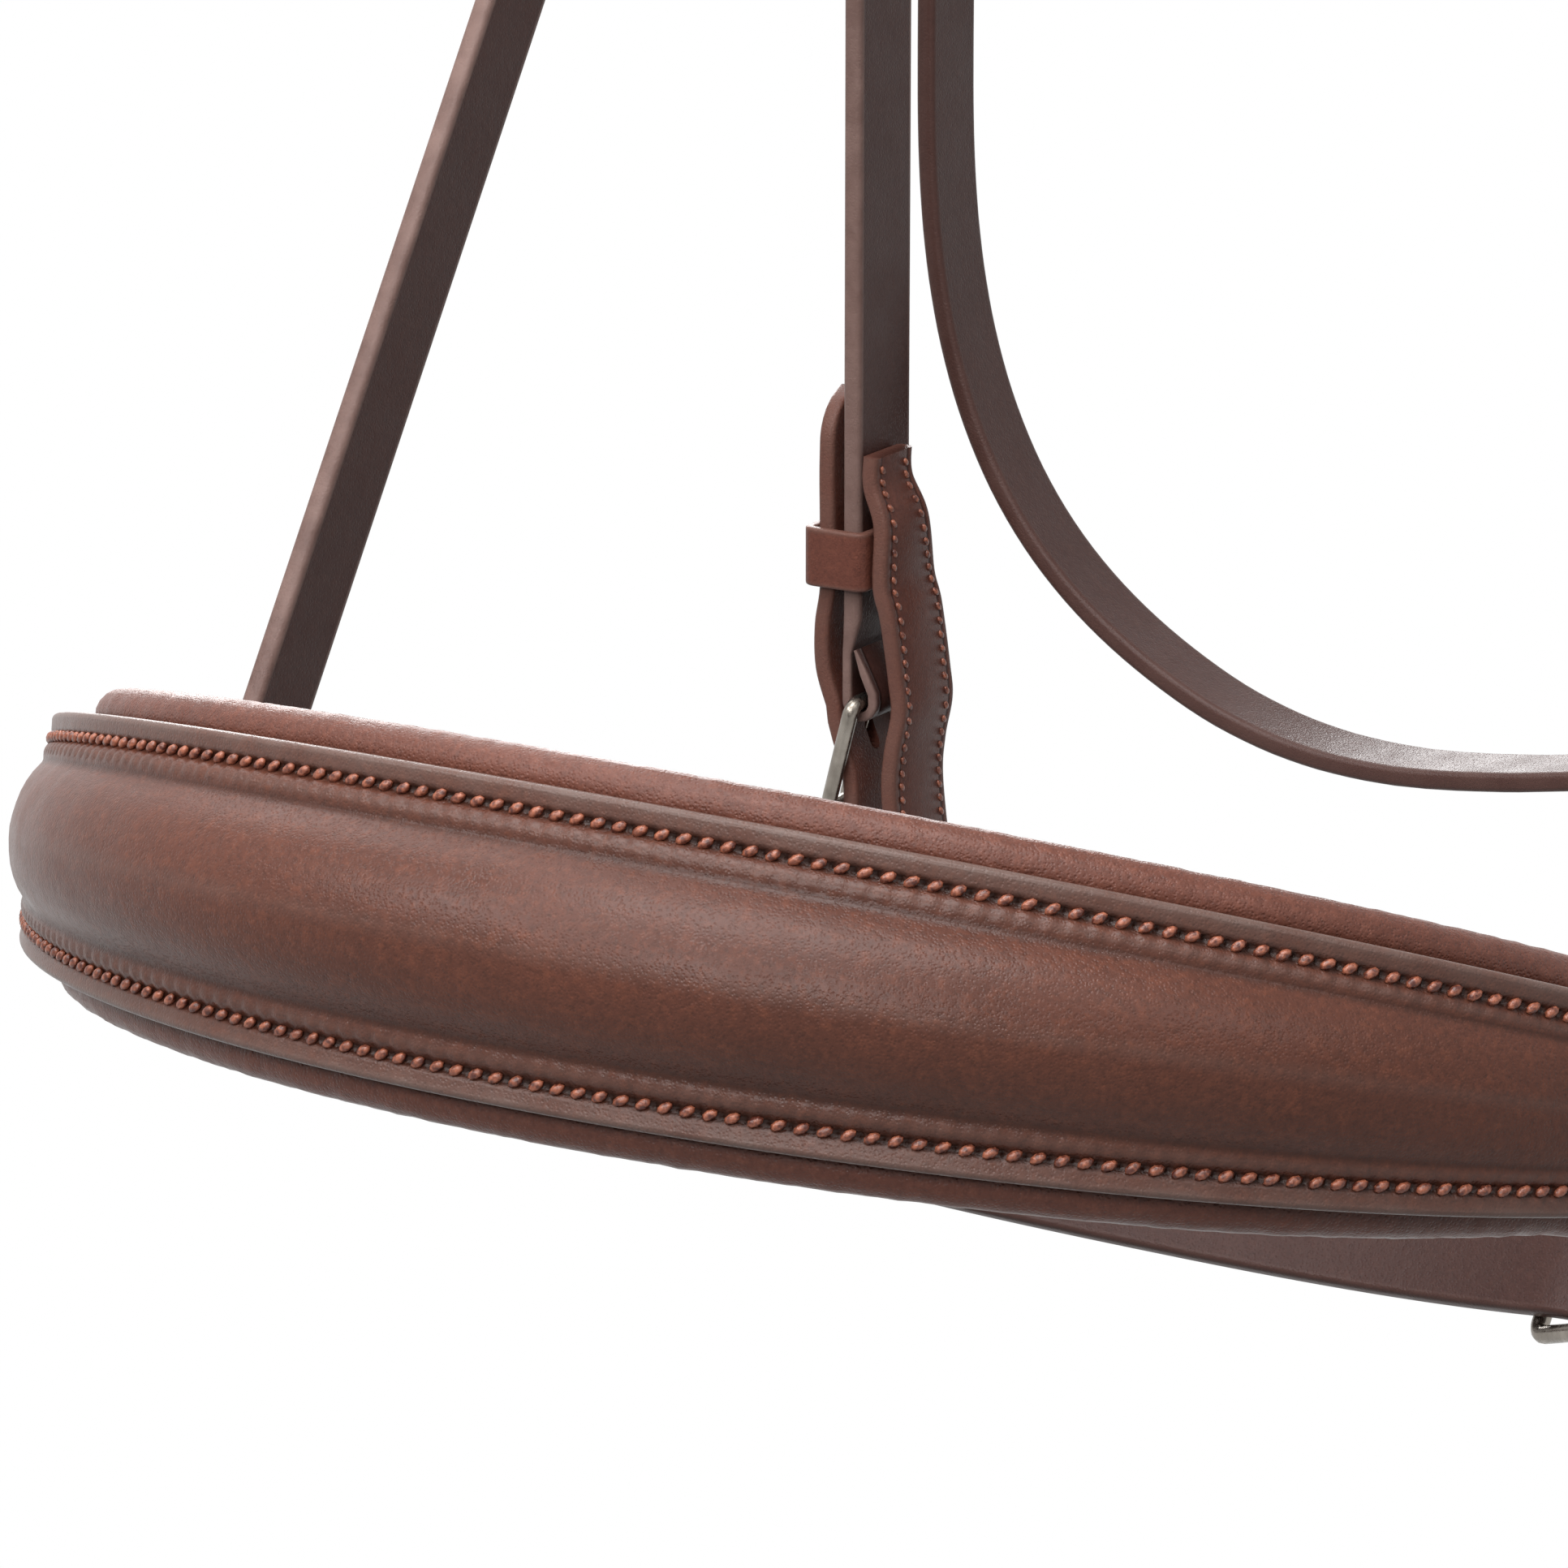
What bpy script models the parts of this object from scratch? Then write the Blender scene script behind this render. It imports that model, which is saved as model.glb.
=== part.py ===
"""English bridle hung from its crown: leather straps, buckles and a raised padded noseband.

The origin is the underside of the crown at the poll. +Z is up, -Y is the front of the
bridle, and +X is the left side of the horse. Lengths are in metres.
"""
import bpy
import bmesh
from math import cos, pi, radians, sin
from mathutils import Vector

# Leather and its fits
gap = 0.0003
strap_thickness = 0.0030
billet_thickness = 0.0026
skived_thickness = 0.0015

# Crown over the poll
crown_width = 0.048
crown_leather = 0.0030
crown_pad_edge = 0.0034
crown_pad_poll = 0.012
crown_side_outer = 0.108
crown_arch_height = 0.0800
crown_side_bottom = 0.120
hinge_drop = 0.095

# Straps on the side of the head
cheek_width = 0.015
cheek_y = -0.006
throat_width = 0.0127
throat_y = 0.0134
hanger_width = 0.0127
hanger_top_y = -0.008
point_top_above_hinge = 0.009

# Heights below the crown
nose_drop = 0.390
nose_forward = 0.258
cheek_buckle_drop = 0.240
bit_buckle_drop = 0.4342
hanger_buckle_drop = 0.256
throat_buckle_drop = 0.195

# Noseband loop: an ellipse in a plane that leans down to the rear
nose_half_width = 0.118
nose_depth = 0.112
nose_tilt = radians(16.7)
nose_front_height = 0.036
nose_side_height = 0.024
nose_raise = 0.0065
nose_leather = 0.0030
nose_lining = 0.0075
nose_lining_margin = 0.0038
nose_overlap = 0.020
nose_taper_share = 0.78
nose_roundness = 3
side_layer = 0.0046

# Hanger of the noseband
hanger_lean = radians(32.8)
hanger_foot_back = 0.0032
hanger_foot_rise = 0.0037
hanger_bend_share = 0.4

# Chin strap
chin_width = 0.0245
chin_depth = 0.068
chin_tilt = radians(38.0)
chin_start = 0.011
chin_keeper_ease = 0.0004
chin_buckle_share = 0.765
chin_roundness = 2.4

# Throatlash curve under the jaw
throat_level_drop = 0.3385
throat_depth = 0.100
throat_roundness = 2.7

# Browband
brow_height = 0.020
brow_thickness = 0.0025
brow_forward = 0.105
brow_loop_length = 0.052
brow_clearance = 0.0008
brow_bow_share = 0.86

# Buckles
wire_radius = 0.0012
tongue_radius = 0.0009
buckle_length = 0.0166
far_bar_rise = 0.0028
buckle_side_gap = 0.0006
buckle_corner = 0.0016
tail_length = 0.0467
keeper_place = 0.0219
runner_place = 0.0350
keeper_height = 0.0090
keeper_thickness = 0.0015
chape_return = 0.0125
bit_loop_drop = 0.0640
bit_loop_radius = 0.0065
bit_loop_run_share = 0.85
tongue_turn = radians(280)

# Counts of steps along curved pieces
nose_steps = 36
arch_steps = 18
chin_steps = 56
throat_steps = 26
brow_steps = 20
fold_steps = 6
bit_loop_steps = 11
rise_steps = 3
hanger_steps = 10
hanger_point_steps = 8
tongue_steps = 8
corner_steps = 2
section_steps = 8
pad_section_steps = 6

leather_roughness = 0.42
steel_roughness = 0.28
leather_colour = (0.115, 0.052, 0.038, 1)
lining_colour = (0.150, 0.050, 0.034, 1)
steel_colour = (0.62, 0.62, 0.60, 1)


def clear_scene():
    for item in list(bpy.data.objects):
        bpy.data.objects.remove(item, do_unlink=True)


def make_material(name, colour, roughness, metallic):
    material = bpy.data.materials.new(name)
    material.use_nodes = True
    shader = material.node_tree.nodes["Principled BSDF"]
    shader.inputs["Base Color"].default_value = colour
    shader.inputs["Roughness"].default_value = roughness
    shader.inputs["Metallic"].default_value = metallic
    return material


def leather(name, colour=leather_colour):
    return make_material(name + "_leather", colour, leather_roughness, 0)


def steel(name):
    return make_material(name + "_steel", steel_colour, steel_roughness, 1)


def place_object(name, data, material):
    item = bpy.data.objects.new(name, data)
    bpy.context.scene.collection.objects.link(item)
    data.materials.append(material)
    return item


class Track:
    """The outer line of a strap's layer: a row of points with a side and an outward direction."""

    def __init__(self, points, outwards):
        self.points = points
        self.outwards = outwards
        self.lengths = [0.0]
        for before, after in zip(points, points[1:]):
            self.lengths.append(self.lengths[-1] + (after - before).length)

    def length(self):
        return self.lengths[-1]

    def frame(self, distance):
        """Point, direction along, direction across and direction outward at a distance."""
        step = 0
        while step < len(self.points) - 2 and self.lengths[step + 1] < distance:
            step += 1
        start, end = self.points[step], self.points[step + 1]
        share = (distance - self.lengths[step]) / (end - start).length
        before = self.points[max(step - 1, 0)]
        after = self.points[min(step + 2, len(self.points) - 1)]
        here = (end - before).normalized()
        there = (after - start).normalized()
        along = here.lerp(there, min(max(share, 0), 1)).normalized()
        outward = self.outwards[step].lerp(self.outwards[step + 1], min(max(share, 0), 1))
        outward = (outward - along * outward.dot(along)).normalized()
        across = along.cross(outward)
        return start.lerp(end, share), along, across, outward

    def place(self, distance, offset):
        point, along, across, outward = self.frame(distance)
        return point + outward * offset, across


def sweep_mesh(rings, closed):
    """A skin over rings of corners, each ring in the same order."""
    shape = bmesh.new()
    loops = [[shape.verts.new(corner) for corner in ring] for ring in rings]
    pairs = list(zip(loops, loops[1:]))
    if closed:
        pairs.append((loops[-1], loops[0]))
    for ring, following in pairs:
        for corner in range(len(ring)):
            beside = (corner + 1) % len(ring)
            shape.faces.new((ring[corner], ring[beside], following[beside], following[corner]))
    if not closed:
        shape.faces.new(loops[0])
        shape.faces.new(loops[-1])
    bmesh.ops.recalc_face_normals(shape, faces=shape.faces)
    mesh = bpy.data.meshes.new("strap")
    shape.to_mesh(mesh)
    shape.free()
    return mesh


def flat_section(width, thickness):
    """Corners across and outward of a flat strap."""
    half, deep = width / 2, thickness / 2
    return [(-half, -deep), (half, -deep), (half, deep), (-half, deep)]


def crowned_section(width, edge, rise, points):
    """Corners of a strap with a flat inner face and a raised, rounded outer face."""
    half = width / 2
    corners = [(-half, 0), (half, 0)]
    for step in range(points + 1):
        share = 1 - 2 * step / points
        swell = (1 - min(1, abs(share)) ** nose_roundness) ** 0.5
        corners.append((half * share, edge + rise * swell))
    return corners


def ring_at(point, across, outward, section):
    return [point + across * side + outward * out for side, out in section]


def strap_along(name, track, route, width, material):
    """A flat strap along a route of (distance, offset, thickness) on a track."""
    places = [track.place(distance, offset) for distance, offset, thickness in route]
    rings = []
    for step, (point, across) in enumerate(places):
        before = places[max(step - 1, 0)][0]
        after = places[min(step + 1, len(places) - 1)][0]
        along = (after - before).normalized()
        outward = across.cross(along).normalized()
        rings.append(ring_at(point, across, outward, flat_section(width, route[step][2])))
    return place_object(name, sweep_mesh(rings, False), material)


def arc_route(centre, drop, radius, start, end, steps, thickness):
    """Points of a fold round a centre, with angles from outward towards the distance."""
    route = []
    for step in range(steps + 1):
        angle = start + (end - start) * step / steps
        route.append((centre + radius * sin(angle), drop + radius * cos(angle), thickness))
    return route


def curve_object(name, points, radius, material, closed):
    data = bpy.data.curves.new(name, "CURVE")
    data.dimensions = "3D"
    data.bevel_depth = radius
    data.bevel_resolution = 1
    data.use_fill_caps = not closed
    spline = data.splines.new("POLY")
    spline.points.add(len(points) - 1)
    for entry, point in zip(spline.points, points):
        entry.co = (point.x, point.y, point.z, 1)
    spline.use_cyclic_u = closed
    return place_object(name, data, material)


def box_cutter(track, distance_low, distance_high, width, offset_low, offset_high):
    """A box over a stretch of a track, for a slot through a strap."""
    middle = (distance_low + distance_high) / 2
    point, along, across, outward = track.frame(middle)
    reach = (distance_high - distance_low) / 2
    rings = []
    for side in (-reach, reach):
        centre = point + along * side
        corners = []
        for across_sign, offset in ((-1, offset_low), (1, offset_low), (1, offset_high), (-1, offset_high)):
            corners.append(centre + across * across_sign * width / 2 + outward * offset)
        rings.append(corners)
    cutter = place_object("slot_cutter", sweep_mesh(rings, False), bpy.data.materials[0])
    return cutter


def cut_and_apply(target, cutter):
    """Cut a slot with a Boolean and keep the result as the object's own mesh."""
    modifier = target.modifiers.new("slot", "BOOLEAN")
    modifier.operation = "DIFFERENCE"
    modifier.object = cutter
    modifier.solver = "EXACT"
    graph = bpy.context.evaluated_depsgraph_get()
    graph.update()
    mesh = bpy.data.meshes.new_from_object(target.evaluated_get(graph))
    target.modifiers.remove(modifier)
    target.data = mesh
    bpy.data.objects.remove(cutter, do_unlink=True)


bar_offset = strap_thickness / 2 - skived_thickness - gap - wire_radius
fold_radius = wire_radius + gap + skived_thickness / 2
skived_offset = (strap_thickness - skived_thickness) / 2
over_offset = strap_thickness / 2 + 2 * gap + billet_thickness / 2
slot_width = 2 * tongue_radius + 2 * gap


def chape_route(bar, length_route):
    """A strap that comes from along its track, folds round the bar and returns inside."""
    route = list(length_route)
    route.append((bar + keeper_place - keeper_height, 0, strap_thickness))
    route.append((bar + keeper_place / 3, skived_offset, skived_thickness))
    route += arc_route(bar, bar_offset, fold_radius, 0, -pi, fold_steps, skived_thickness)
    route.append((bar + chape_return, bar_offset - fold_radius, skived_thickness))
    return route


def rise_route(bar, tail=tail_length):
    """A billet that passes under the far bar and rises over the fold, out to its tail."""
    start = bar - buckle_length + far_bar_rise
    end = bar - wire_radius
    route = []
    for step in range(rise_steps + 1):
        share = step / rise_steps
        distance = start + (end - start) * share
        route.append((distance, over_offset * share, billet_thickness))
    route.append((bar + tail, over_offset, billet_thickness))
    return route


def buckle(name, track, bar, width):
    """A wire frame and a tongue on a bar across the track."""
    half = width / 2 + buckle_side_gap + wire_radius
    corners = []
    turns = ((1, 1, 0), (-1, 1, pi / 2), (-1, -1, pi), (1, -1, 3 * pi / 2))
    for side, end, first in turns:
        for step in range(corner_steps + 1):
            angle = first + step * pi / 2 / corner_steps
            across_place = side * (half - buckle_corner) + buckle_corner * cos(angle)
            length_place = end * (buckle_length / 2 - buckle_corner) + buckle_corner * sin(angle)
            corners.append((across_place, length_place))
    points = []
    for across_place, length_place in corners:
        share = 0.5 + length_place / buckle_length
        offset = bar_offset + (far_bar_rise - bar_offset) * (1 - share)
        point, across = track.place(bar - buckle_length * (1 - share), offset)
        points.append(point + across * across_place)
    curve_object(name + "_buckle", points, wire_radius, steel(name + "_buckle"), True)

    eye_radius = wire_radius + gap + tongue_radius
    points = []
    for step in range(tongue_steps + 1):
        angle = tongue_turn * (1 - step / tongue_steps)
        distance = bar + eye_radius * sin(angle)
        points.append(track.place(distance, bar_offset + eye_radius * cos(angle))[0])
    tip_offset = far_bar_rise + wire_radius + gap + tongue_radius
    points.append(track.place(bar - buckle_length, tip_offset)[0])
    points.append(track.place(bar - buckle_length - 2 * tongue_radius, tip_offset)[0])
    curve_object(name + "_tongue", points, tongue_radius, steel(name + "_tongue"), False)


def cut_chape(target, track, bar):
    reach = fold_radius + 2 * tongue_radius
    cutter = box_cutter(track, bar - reach, bar + reach, slot_width, -buckle_length, strap_thickness)
    cut_and_apply(target, cutter)


def punch_billet(target, track, bar):
    """The oval hole that the tongue passes through."""
    far = bar - buckle_length * 2 / 3 + gap
    near = bar - tongue_radius / 2
    cutter = box_cutter(track, far, near, slot_width, -buckle_length, buckle_length)
    cut_and_apply(target, cutter)


def keeper(name, track, centre, width, inner_offset, outer_offset):
    """A closed leather band round the strap and the billet on it."""
    half = width / 2 + gap + keeper_thickness / 2
    low = inner_offset - gap - keeper_thickness / 2
    high = outer_offset + gap + keeper_thickness / 2
    cut = keeper_thickness / 2
    outline = ((-half, low + cut), (-half, high - cut), (-half + cut, high), (half - cut, high))
    outline += ((half, high - cut), (half, low + cut), (half - cut, low), (-half + cut, low))
    point, along, across, outward = track.frame(centre)
    rings = []
    count = len(outline)
    for step, (side, out) in enumerate(outline):
        before, after = outline[step - 1], outline[(step + 1) % count]
        run = (across * (after[0] - before[0]) + outward * (after[1] - before[1])).normalized()
        normal = run.cross(along)
        place = point + across * side + outward * out
        rings.append(ring_at(place, along, normal, flat_section(keeper_height, keeper_thickness)))
    return place_object(name, sweep_mesh(rings, True), leather(name))


def keeper_on_strap(name, track, centre, width):
    outer = over_offset + billet_thickness / 2
    return keeper(name, track, centre, width, -strap_thickness / 2, outer)


def side_track(side, y):
    """A straight track down the side of the head, from the height of the crown."""
    layer = crown_side_outer - crown_leather - gap - crown_pad_edge - gap - strap_thickness / 2
    top = Vector((side * layer, y, 0))
    return Track([top, top + Vector((0, 0, -nose_drop))], [Vector((side, 0, 0))] * 2)


def cheekpiece(side, label):
    """A cheek strap with a buckle at each end, its point from the crown and its bit billet."""
    track = side_track(side, cheek_y)
    bar = cheek_buckle_drop
    top = hinge_drop - point_top_above_hinge
    flat = strap_thickness - billet_thickness
    route = [(top, flat / 2, billet_thickness)] + rise_route(bar)
    name = "cheek_point_" + label
    point = strap_along(name, track, route, cheek_width, leather(name))
    punch_billet(point, track, bar)

    low = bit_buckle_drop
    name = "cheek_strap_" + label
    route = []
    route += [(bar + chape_return, bar_offset - fold_radius, skived_thickness)]
    route += arc_route(bar, bar_offset, fold_radius, -pi, 0, fold_steps, skived_thickness)
    route.append((bar + keeper_place / 3, skived_offset, skived_thickness))
    route.append((bar + keeper_place - keeper_height, 0, strap_thickness))
    route.append((low - keeper_place + keeper_height, 0, strap_thickness))
    route.append((low - keeper_place / 3, skived_offset, skived_thickness))
    route += arc_route(low, bar_offset, fold_radius, 0, pi, fold_steps, skived_thickness)
    route.append((low - chape_return, bar_offset - fold_radius, skived_thickness))
    strap = strap_along(name, track, route, cheek_width, leather(name))
    cut_chape(strap, track, bar)
    cut_chape(strap, track, low)
    buckle("cheek_" + label, track, bar, cheek_width)
    keeper_on_strap("cheek_keeper_" + label, track, bar + keeper_place, cheek_width)
    keeper_on_strap("cheek_runner_" + label, track, bar + runner_place, cheek_width)

    bottom = Vector((side * abs(track.points[0].x), cheek_y, -2 * low))
    upward = Track([bottom, bottom + Vector((0, 0, low))], [Vector((side, 0, 0))] * 2)
    bit_billet(upward, label, low)
    buckle("bit_" + label, upward, low, cheek_width)
    keeper_on_strap("bit_keeper_" + label, upward, low + keeper_place, cheek_width)


def bit_billet(track, label, bar):
    """The stitched piece inside the cheek strap: down, round the bit ring and up outside."""
    half = billet_thickness / 2
    sewn = -strap_thickness / 2 - gap - half
    past_keeper = sewn - keeper_thickness - gap
    past_chape = bar_offset - fold_radius - skived_thickness / 2 - gap - half
    loop_inner = -2 * bit_loop_radius
    route = [
        (bar + tail_length - keeper_height, sewn),
        (bar + keeper_place + keeper_height, sewn),
        (bar + keeper_place + keeper_height / 2 + keeper_thickness, past_keeper),
        (bar + keeper_place - keeper_height / 2 - gap, past_keeper),
        (bar + chape_return + 2 * gap, past_chape),
        (bar - buckle_length / 2, past_chape),
        (bar - 2 * buckle_length, loop_inner * 2 / 3),
        (bar - bit_loop_drop * bit_loop_run_share, loop_inner),
    ]
    route = [(distance, offset, billet_thickness) for distance, offset in route]
    bottom = bar - bit_loop_drop
    route += arc_route(bottom, -bit_loop_radius, bit_loop_radius, -pi, 0, bit_loop_steps, billet_thickness)
    route += rise_route(bar)
    name = "bit_billet_" + label
    billet = strap_along(name, track, route, cheek_width, leather(name, lining_colour))
    punch_bit_billet(billet, track, bar)


def punch_bit_billet(target, track, bar):
    """The tongue's hole, cut only through the outer run of the billet."""
    far = bar - buckle_length * 2 / 3 + gap
    near = bar - tongue_radius / 2
    cutter = box_cutter(track, far, near, slot_width, bar_offset, buckle_length)
    cut_and_apply(target, cutter)


def hanger_foot():
    """Place from the front and drop of a hanger's sewn end, by the noseband's widest place."""
    widest_y = nose_depth * cos(nose_tilt) - nose_forward
    widest_drop = nose_drop + nose_depth * sin(nose_tilt)
    return widest_y + hanger_foot_back, widest_drop - hanger_foot_rise


def hanger_line(side):
    """The leaning track of a noseband hanger, curving up to the crown."""
    layer_top = crown_side_outer + gap + billet_thickness / 2
    layer_foot = nose_half_width - nose_leather - gap - side_layer / 2
    lean = Vector((0, -sin(hanger_lean), -cos(hanger_lean)))
    foot_y, foot_drop = hanger_foot()
    foot = Vector((0, foot_y, -foot_drop))
    straight = (foot_drop - hanger_buckle_drop) / cos(hanger_lean) + 2 * buckle_length
    knee = foot - lean * straight
    top = Vector((0, hanger_top_y, -hinge_drop + point_top_above_hinge))
    down = Vector((0, 0, -1))
    reach = (top - knee).length
    points = []
    for step in range(hanger_steps + 1):
        share = step / hanger_steps
        rest = 1 - share
        handle = top + down * reach * hanger_bend_share
        second = knee - lean * reach * hanger_bend_share
        upper = top * rest ** 3 + handle * 3 * rest ** 2 * share
        points.append(upper + second * 3 * rest * share ** 2 + knee * share ** 3)
    for step in range(1, hanger_steps + 1):
        points.append(knee + lean * straight * step / hanger_steps)
    line = []
    for place in points:
        share = (top.z - place.z) / (top.z - foot.z)
        layer = layer_top + (layer_foot - layer_top) * share
        line.append(Vector((side * layer, place.y, place.z)))
    return Track(line, [Vector((side, 0, 0))] * len(line))


def hanger(side, label):
    """The strap that carries the noseband, buckled to its point from the crown."""
    track = hanger_line(side)
    end = track.length()
    bar = end - (hanger_foot()[1] - hanger_buckle_drop) / cos(hanger_lean)
    route = []
    for step in range(hanger_point_steps + 1):
        reach = (bar - buckle_length) * step / hanger_point_steps
        route.append((reach, 0, billet_thickness))
    name = "hanger_point_" + label
    point = strap_along(name, track, route + rise_route(bar), hanger_width, leather(name))
    punch_billet(point, track, bar)
    name = "hanger_" + label
    route = chape_route(bar, [(end, 0, strap_thickness)])
    strap = strap_along(name, track, route, hanger_width, leather(name))
    cut_chape(strap, track, bar)
    buckle(name, track, bar, hanger_width)
    keeper_on_strap("hanger_keeper_" + label, track, bar + keeper_place, hanger_width)


def throat_points(side_layer_x):
    """The hanging curve from the right side to the left, square to the front."""
    points = []
    for step in range(throat_steps + 1):
        angle = -pi / 2 + pi * step / throat_steps
        power = 2 / throat_roundness
        across = abs(sin(angle)) ** power
        drop = abs(cos(angle)) ** power
        x = across * side_layer_x * (1 if angle >= 0 else -1)
        points.append(Vector((x, throat_y, -throat_level_drop - throat_depth * drop)))
    return points


def throatlash():
    """The strap under the throat: sewn to the crown at the right, buckled at the left."""
    layer = abs(side_track(1, throat_y).points[0].x)
    top = -hinge_drop + point_top_above_hinge
    curve = throat_points(layer)
    start = [Vector((-layer, throat_y, top))]
    finish = [Vector((layer, throat_y, 0))]
    points = start + curve + finish
    outwards = [Vector((-1, 0, 0))]
    for before, after in zip(points, points[2:]):
        along = (after - before).normalized()
        outwards.append(Vector((-along.z, 0, along.x)) * -1)
    outwards.append(Vector((1, 0, 0)))
    track = Track(points, outwards)
    end = track.length()
    reverse = Track(list(reversed(points)), list(reversed(outwards)))
    bar = throat_buckle_drop
    route = []
    for distance in track.lengths[:-1]:
        route.append((distance, 0, strap_thickness))
    route.reverse()
    route = [(end - distance, offset, thick) for distance, offset, thick in route]
    name = "throatlash"
    chape = chape_route(bar, [])
    strap = strap_along(name, reverse, list(reversed(route)) + chape, throat_width, leather(name))
    cut_chape(strap, reverse, bar)
    name = "throat_point_left"
    route = [(hinge_drop - point_top_above_hinge, 0, billet_thickness)] + rise_route(bar)
    point = strap_along(name, reverse, route, throat_width, leather(name))
    punch_billet(point, reverse, bar)
    buckle("throat_left", reverse, bar, throat_width)
    keeper_on_strap("throat_keeper_left", reverse, bar + keeper_place, throat_width)


def crown_line(side_x, top_z):
    """Half the crown's arch mirrored, from the right side over the poll to the left."""
    points = [Vector((-side_x, 0, -crown_side_bottom)), Vector((-side_x, 0, -hinge_drop))]
    for step in range(arch_steps + 1):
        angle = pi - pi * step / arch_steps
        height = (crown_arch_height + top_z) * sin(angle) - crown_arch_height
        points.append(Vector((side_x * cos(angle), 0, height)))
    points += [Vector((side_x, 0, -hinge_drop)), Vector((side_x, 0, -crown_side_bottom))]
    return points


def arch_normal(points, step):
    before = points[max(step - 1, 0)]
    after = points[min(step + 1, len(points) - 1)]
    along = (after - before).normalized()
    return Vector((-along.z, 0, along.x))


def crown():
    """The leather crown strap and the soft pad under it."""
    outer = crown_line(crown_side_outer - crown_leather, crown_pad_poll + gap)
    rings = []
    across = Vector((0, 1, 0))
    for step, point in enumerate(outer):
        normal = arch_normal(outer, step)
        section = flat_section(crown_width, crown_leather)
        section = [(side, out + crown_leather / 2) for side, out in section]
        rings.append(ring_at(point, across, normal, section))
    place_object("crown_leather", sweep_mesh(rings, False), leather("crown_leather"))
    rings = []
    for step, point in enumerate(outer):
        normal = arch_normal(outer, step)
        share = max(0, min(1, 1 + point.z / crown_arch_height))
        rise = (crown_pad_poll - crown_pad_edge) * share ** 0.5
        top = crowned_section(crown_width - 2 * crown_leather, crown_pad_edge, rise, pad_section_steps)
        section = [(side, -gap - out) for side, out in top]
        rings.append(ring_at(point, across, normal, section))
    place_object("crown_pad", sweep_mesh(rings, False), leather("crown_pad", lining_colour))


def nose_track(half_width, depth):
    """The front half of the noseband's ellipse with a short run past the widest places."""
    lean = Vector((0, cos(nose_tilt), -sin(nose_tilt)))
    centre = Vector((0, -nose_forward, -nose_drop)) + lean * nose_depth
    past = nose_overlap / half_width
    points, outwards = [], []
    for step in range(nose_steps + 1):
        angle = -pi / 2 - past + (pi + 2 * past) * step / nose_steps
        points.append(centre + Vector((half_width * sin(angle), 0, 0)) - lean * depth * cos(angle))
        outwards.append((Vector((sin(angle) / half_width, 0, 0)) - lean * cos(angle) / depth).normalized())
    return Track(points, outwards)


def noseband():
    """The raised front of the noseband and its soft lining."""
    track = nose_track(nose_half_width, nose_depth)
    middle = track.length() / 2
    rings, lining_rings = [], []
    for step, distance in enumerate(track.lengths):
        point, along, across, outward = track.frame(distance)
        share = min(1, abs(distance - middle) / (middle - nose_overlap) / nose_taper_share)
        width = nose_front_height + (nose_side_height - nose_front_height) * share ** 2
        rise = nose_raise * (1 - share ** 2) + nose_leather / 6
        section = crowned_section(width, 0, rise, section_steps)
        section = section[2:]
        back = [(-width / 2, -nose_leather), (width / 2, -nose_leather)]
        rings.append(ring_at(point, across, outward, back + section))
        lining_width = width + 2 * nose_lining_margin
        inside = -nose_leather - gap - side_layer - gap
        soft = crowned_section(lining_width, nose_lining / 3, nose_lining * 2 / 3, pad_section_steps)
        soft = [(side, inside - out) for side, out in soft]
        lining_rings.append(ring_at(point, across, outward, soft))
    place_object("noseband_front", sweep_mesh(rings, False), leather("noseband_front"))
    soft_leather = leather("noseband_lining", lining_colour)
    place_object("noseband_lining", sweep_mesh(lining_rings[1:-1], False), soft_leather)
    clear = nose_overlap + 2 * hanger_width
    inner = -nose_leather - gap - side_layer / 2
    start, end = clear, track.length() - clear
    route = [(distance, inner, side_layer) for distance in track.lengths if start < distance < end]
    name = "noseband_core"
    strap_along(name, track, route, nose_side_height - 2 * nose_leather, leather(name, lining_colour))


def chin_track():
    """The rear half of the jaw loop, from the right side round to the left."""
    half_width = nose_half_width - nose_leather - side_layer / 2 - 2 * gap
    lean = Vector((0, cos(chin_tilt), -sin(chin_tilt)))
    front = Vector((0, cos(nose_tilt), -sin(nose_tilt))) * nose_depth
    centre = Vector((0, -nose_forward, -nose_drop)) + front
    points, outwards = [], []
    power = 2 / chin_roundness
    for step in range(chin_steps + 1):
        angle = -pi / 2 + pi * step / chin_steps
        side = 1 if angle >= 0 else -1
        x = side * abs(sin(angle)) ** power
        back = abs(cos(angle)) ** power
        points.append(centre + Vector((half_width * x, 0, 0)) + lean * chin_depth * back)
        steep = chin_roundness - 1
        turn = Vector((side * abs(x) ** steep / half_width, 0, 0)) + lean * back ** steep / chin_depth
        outwards.append(turn.normalized())
    return Track(points, outwards)


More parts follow.
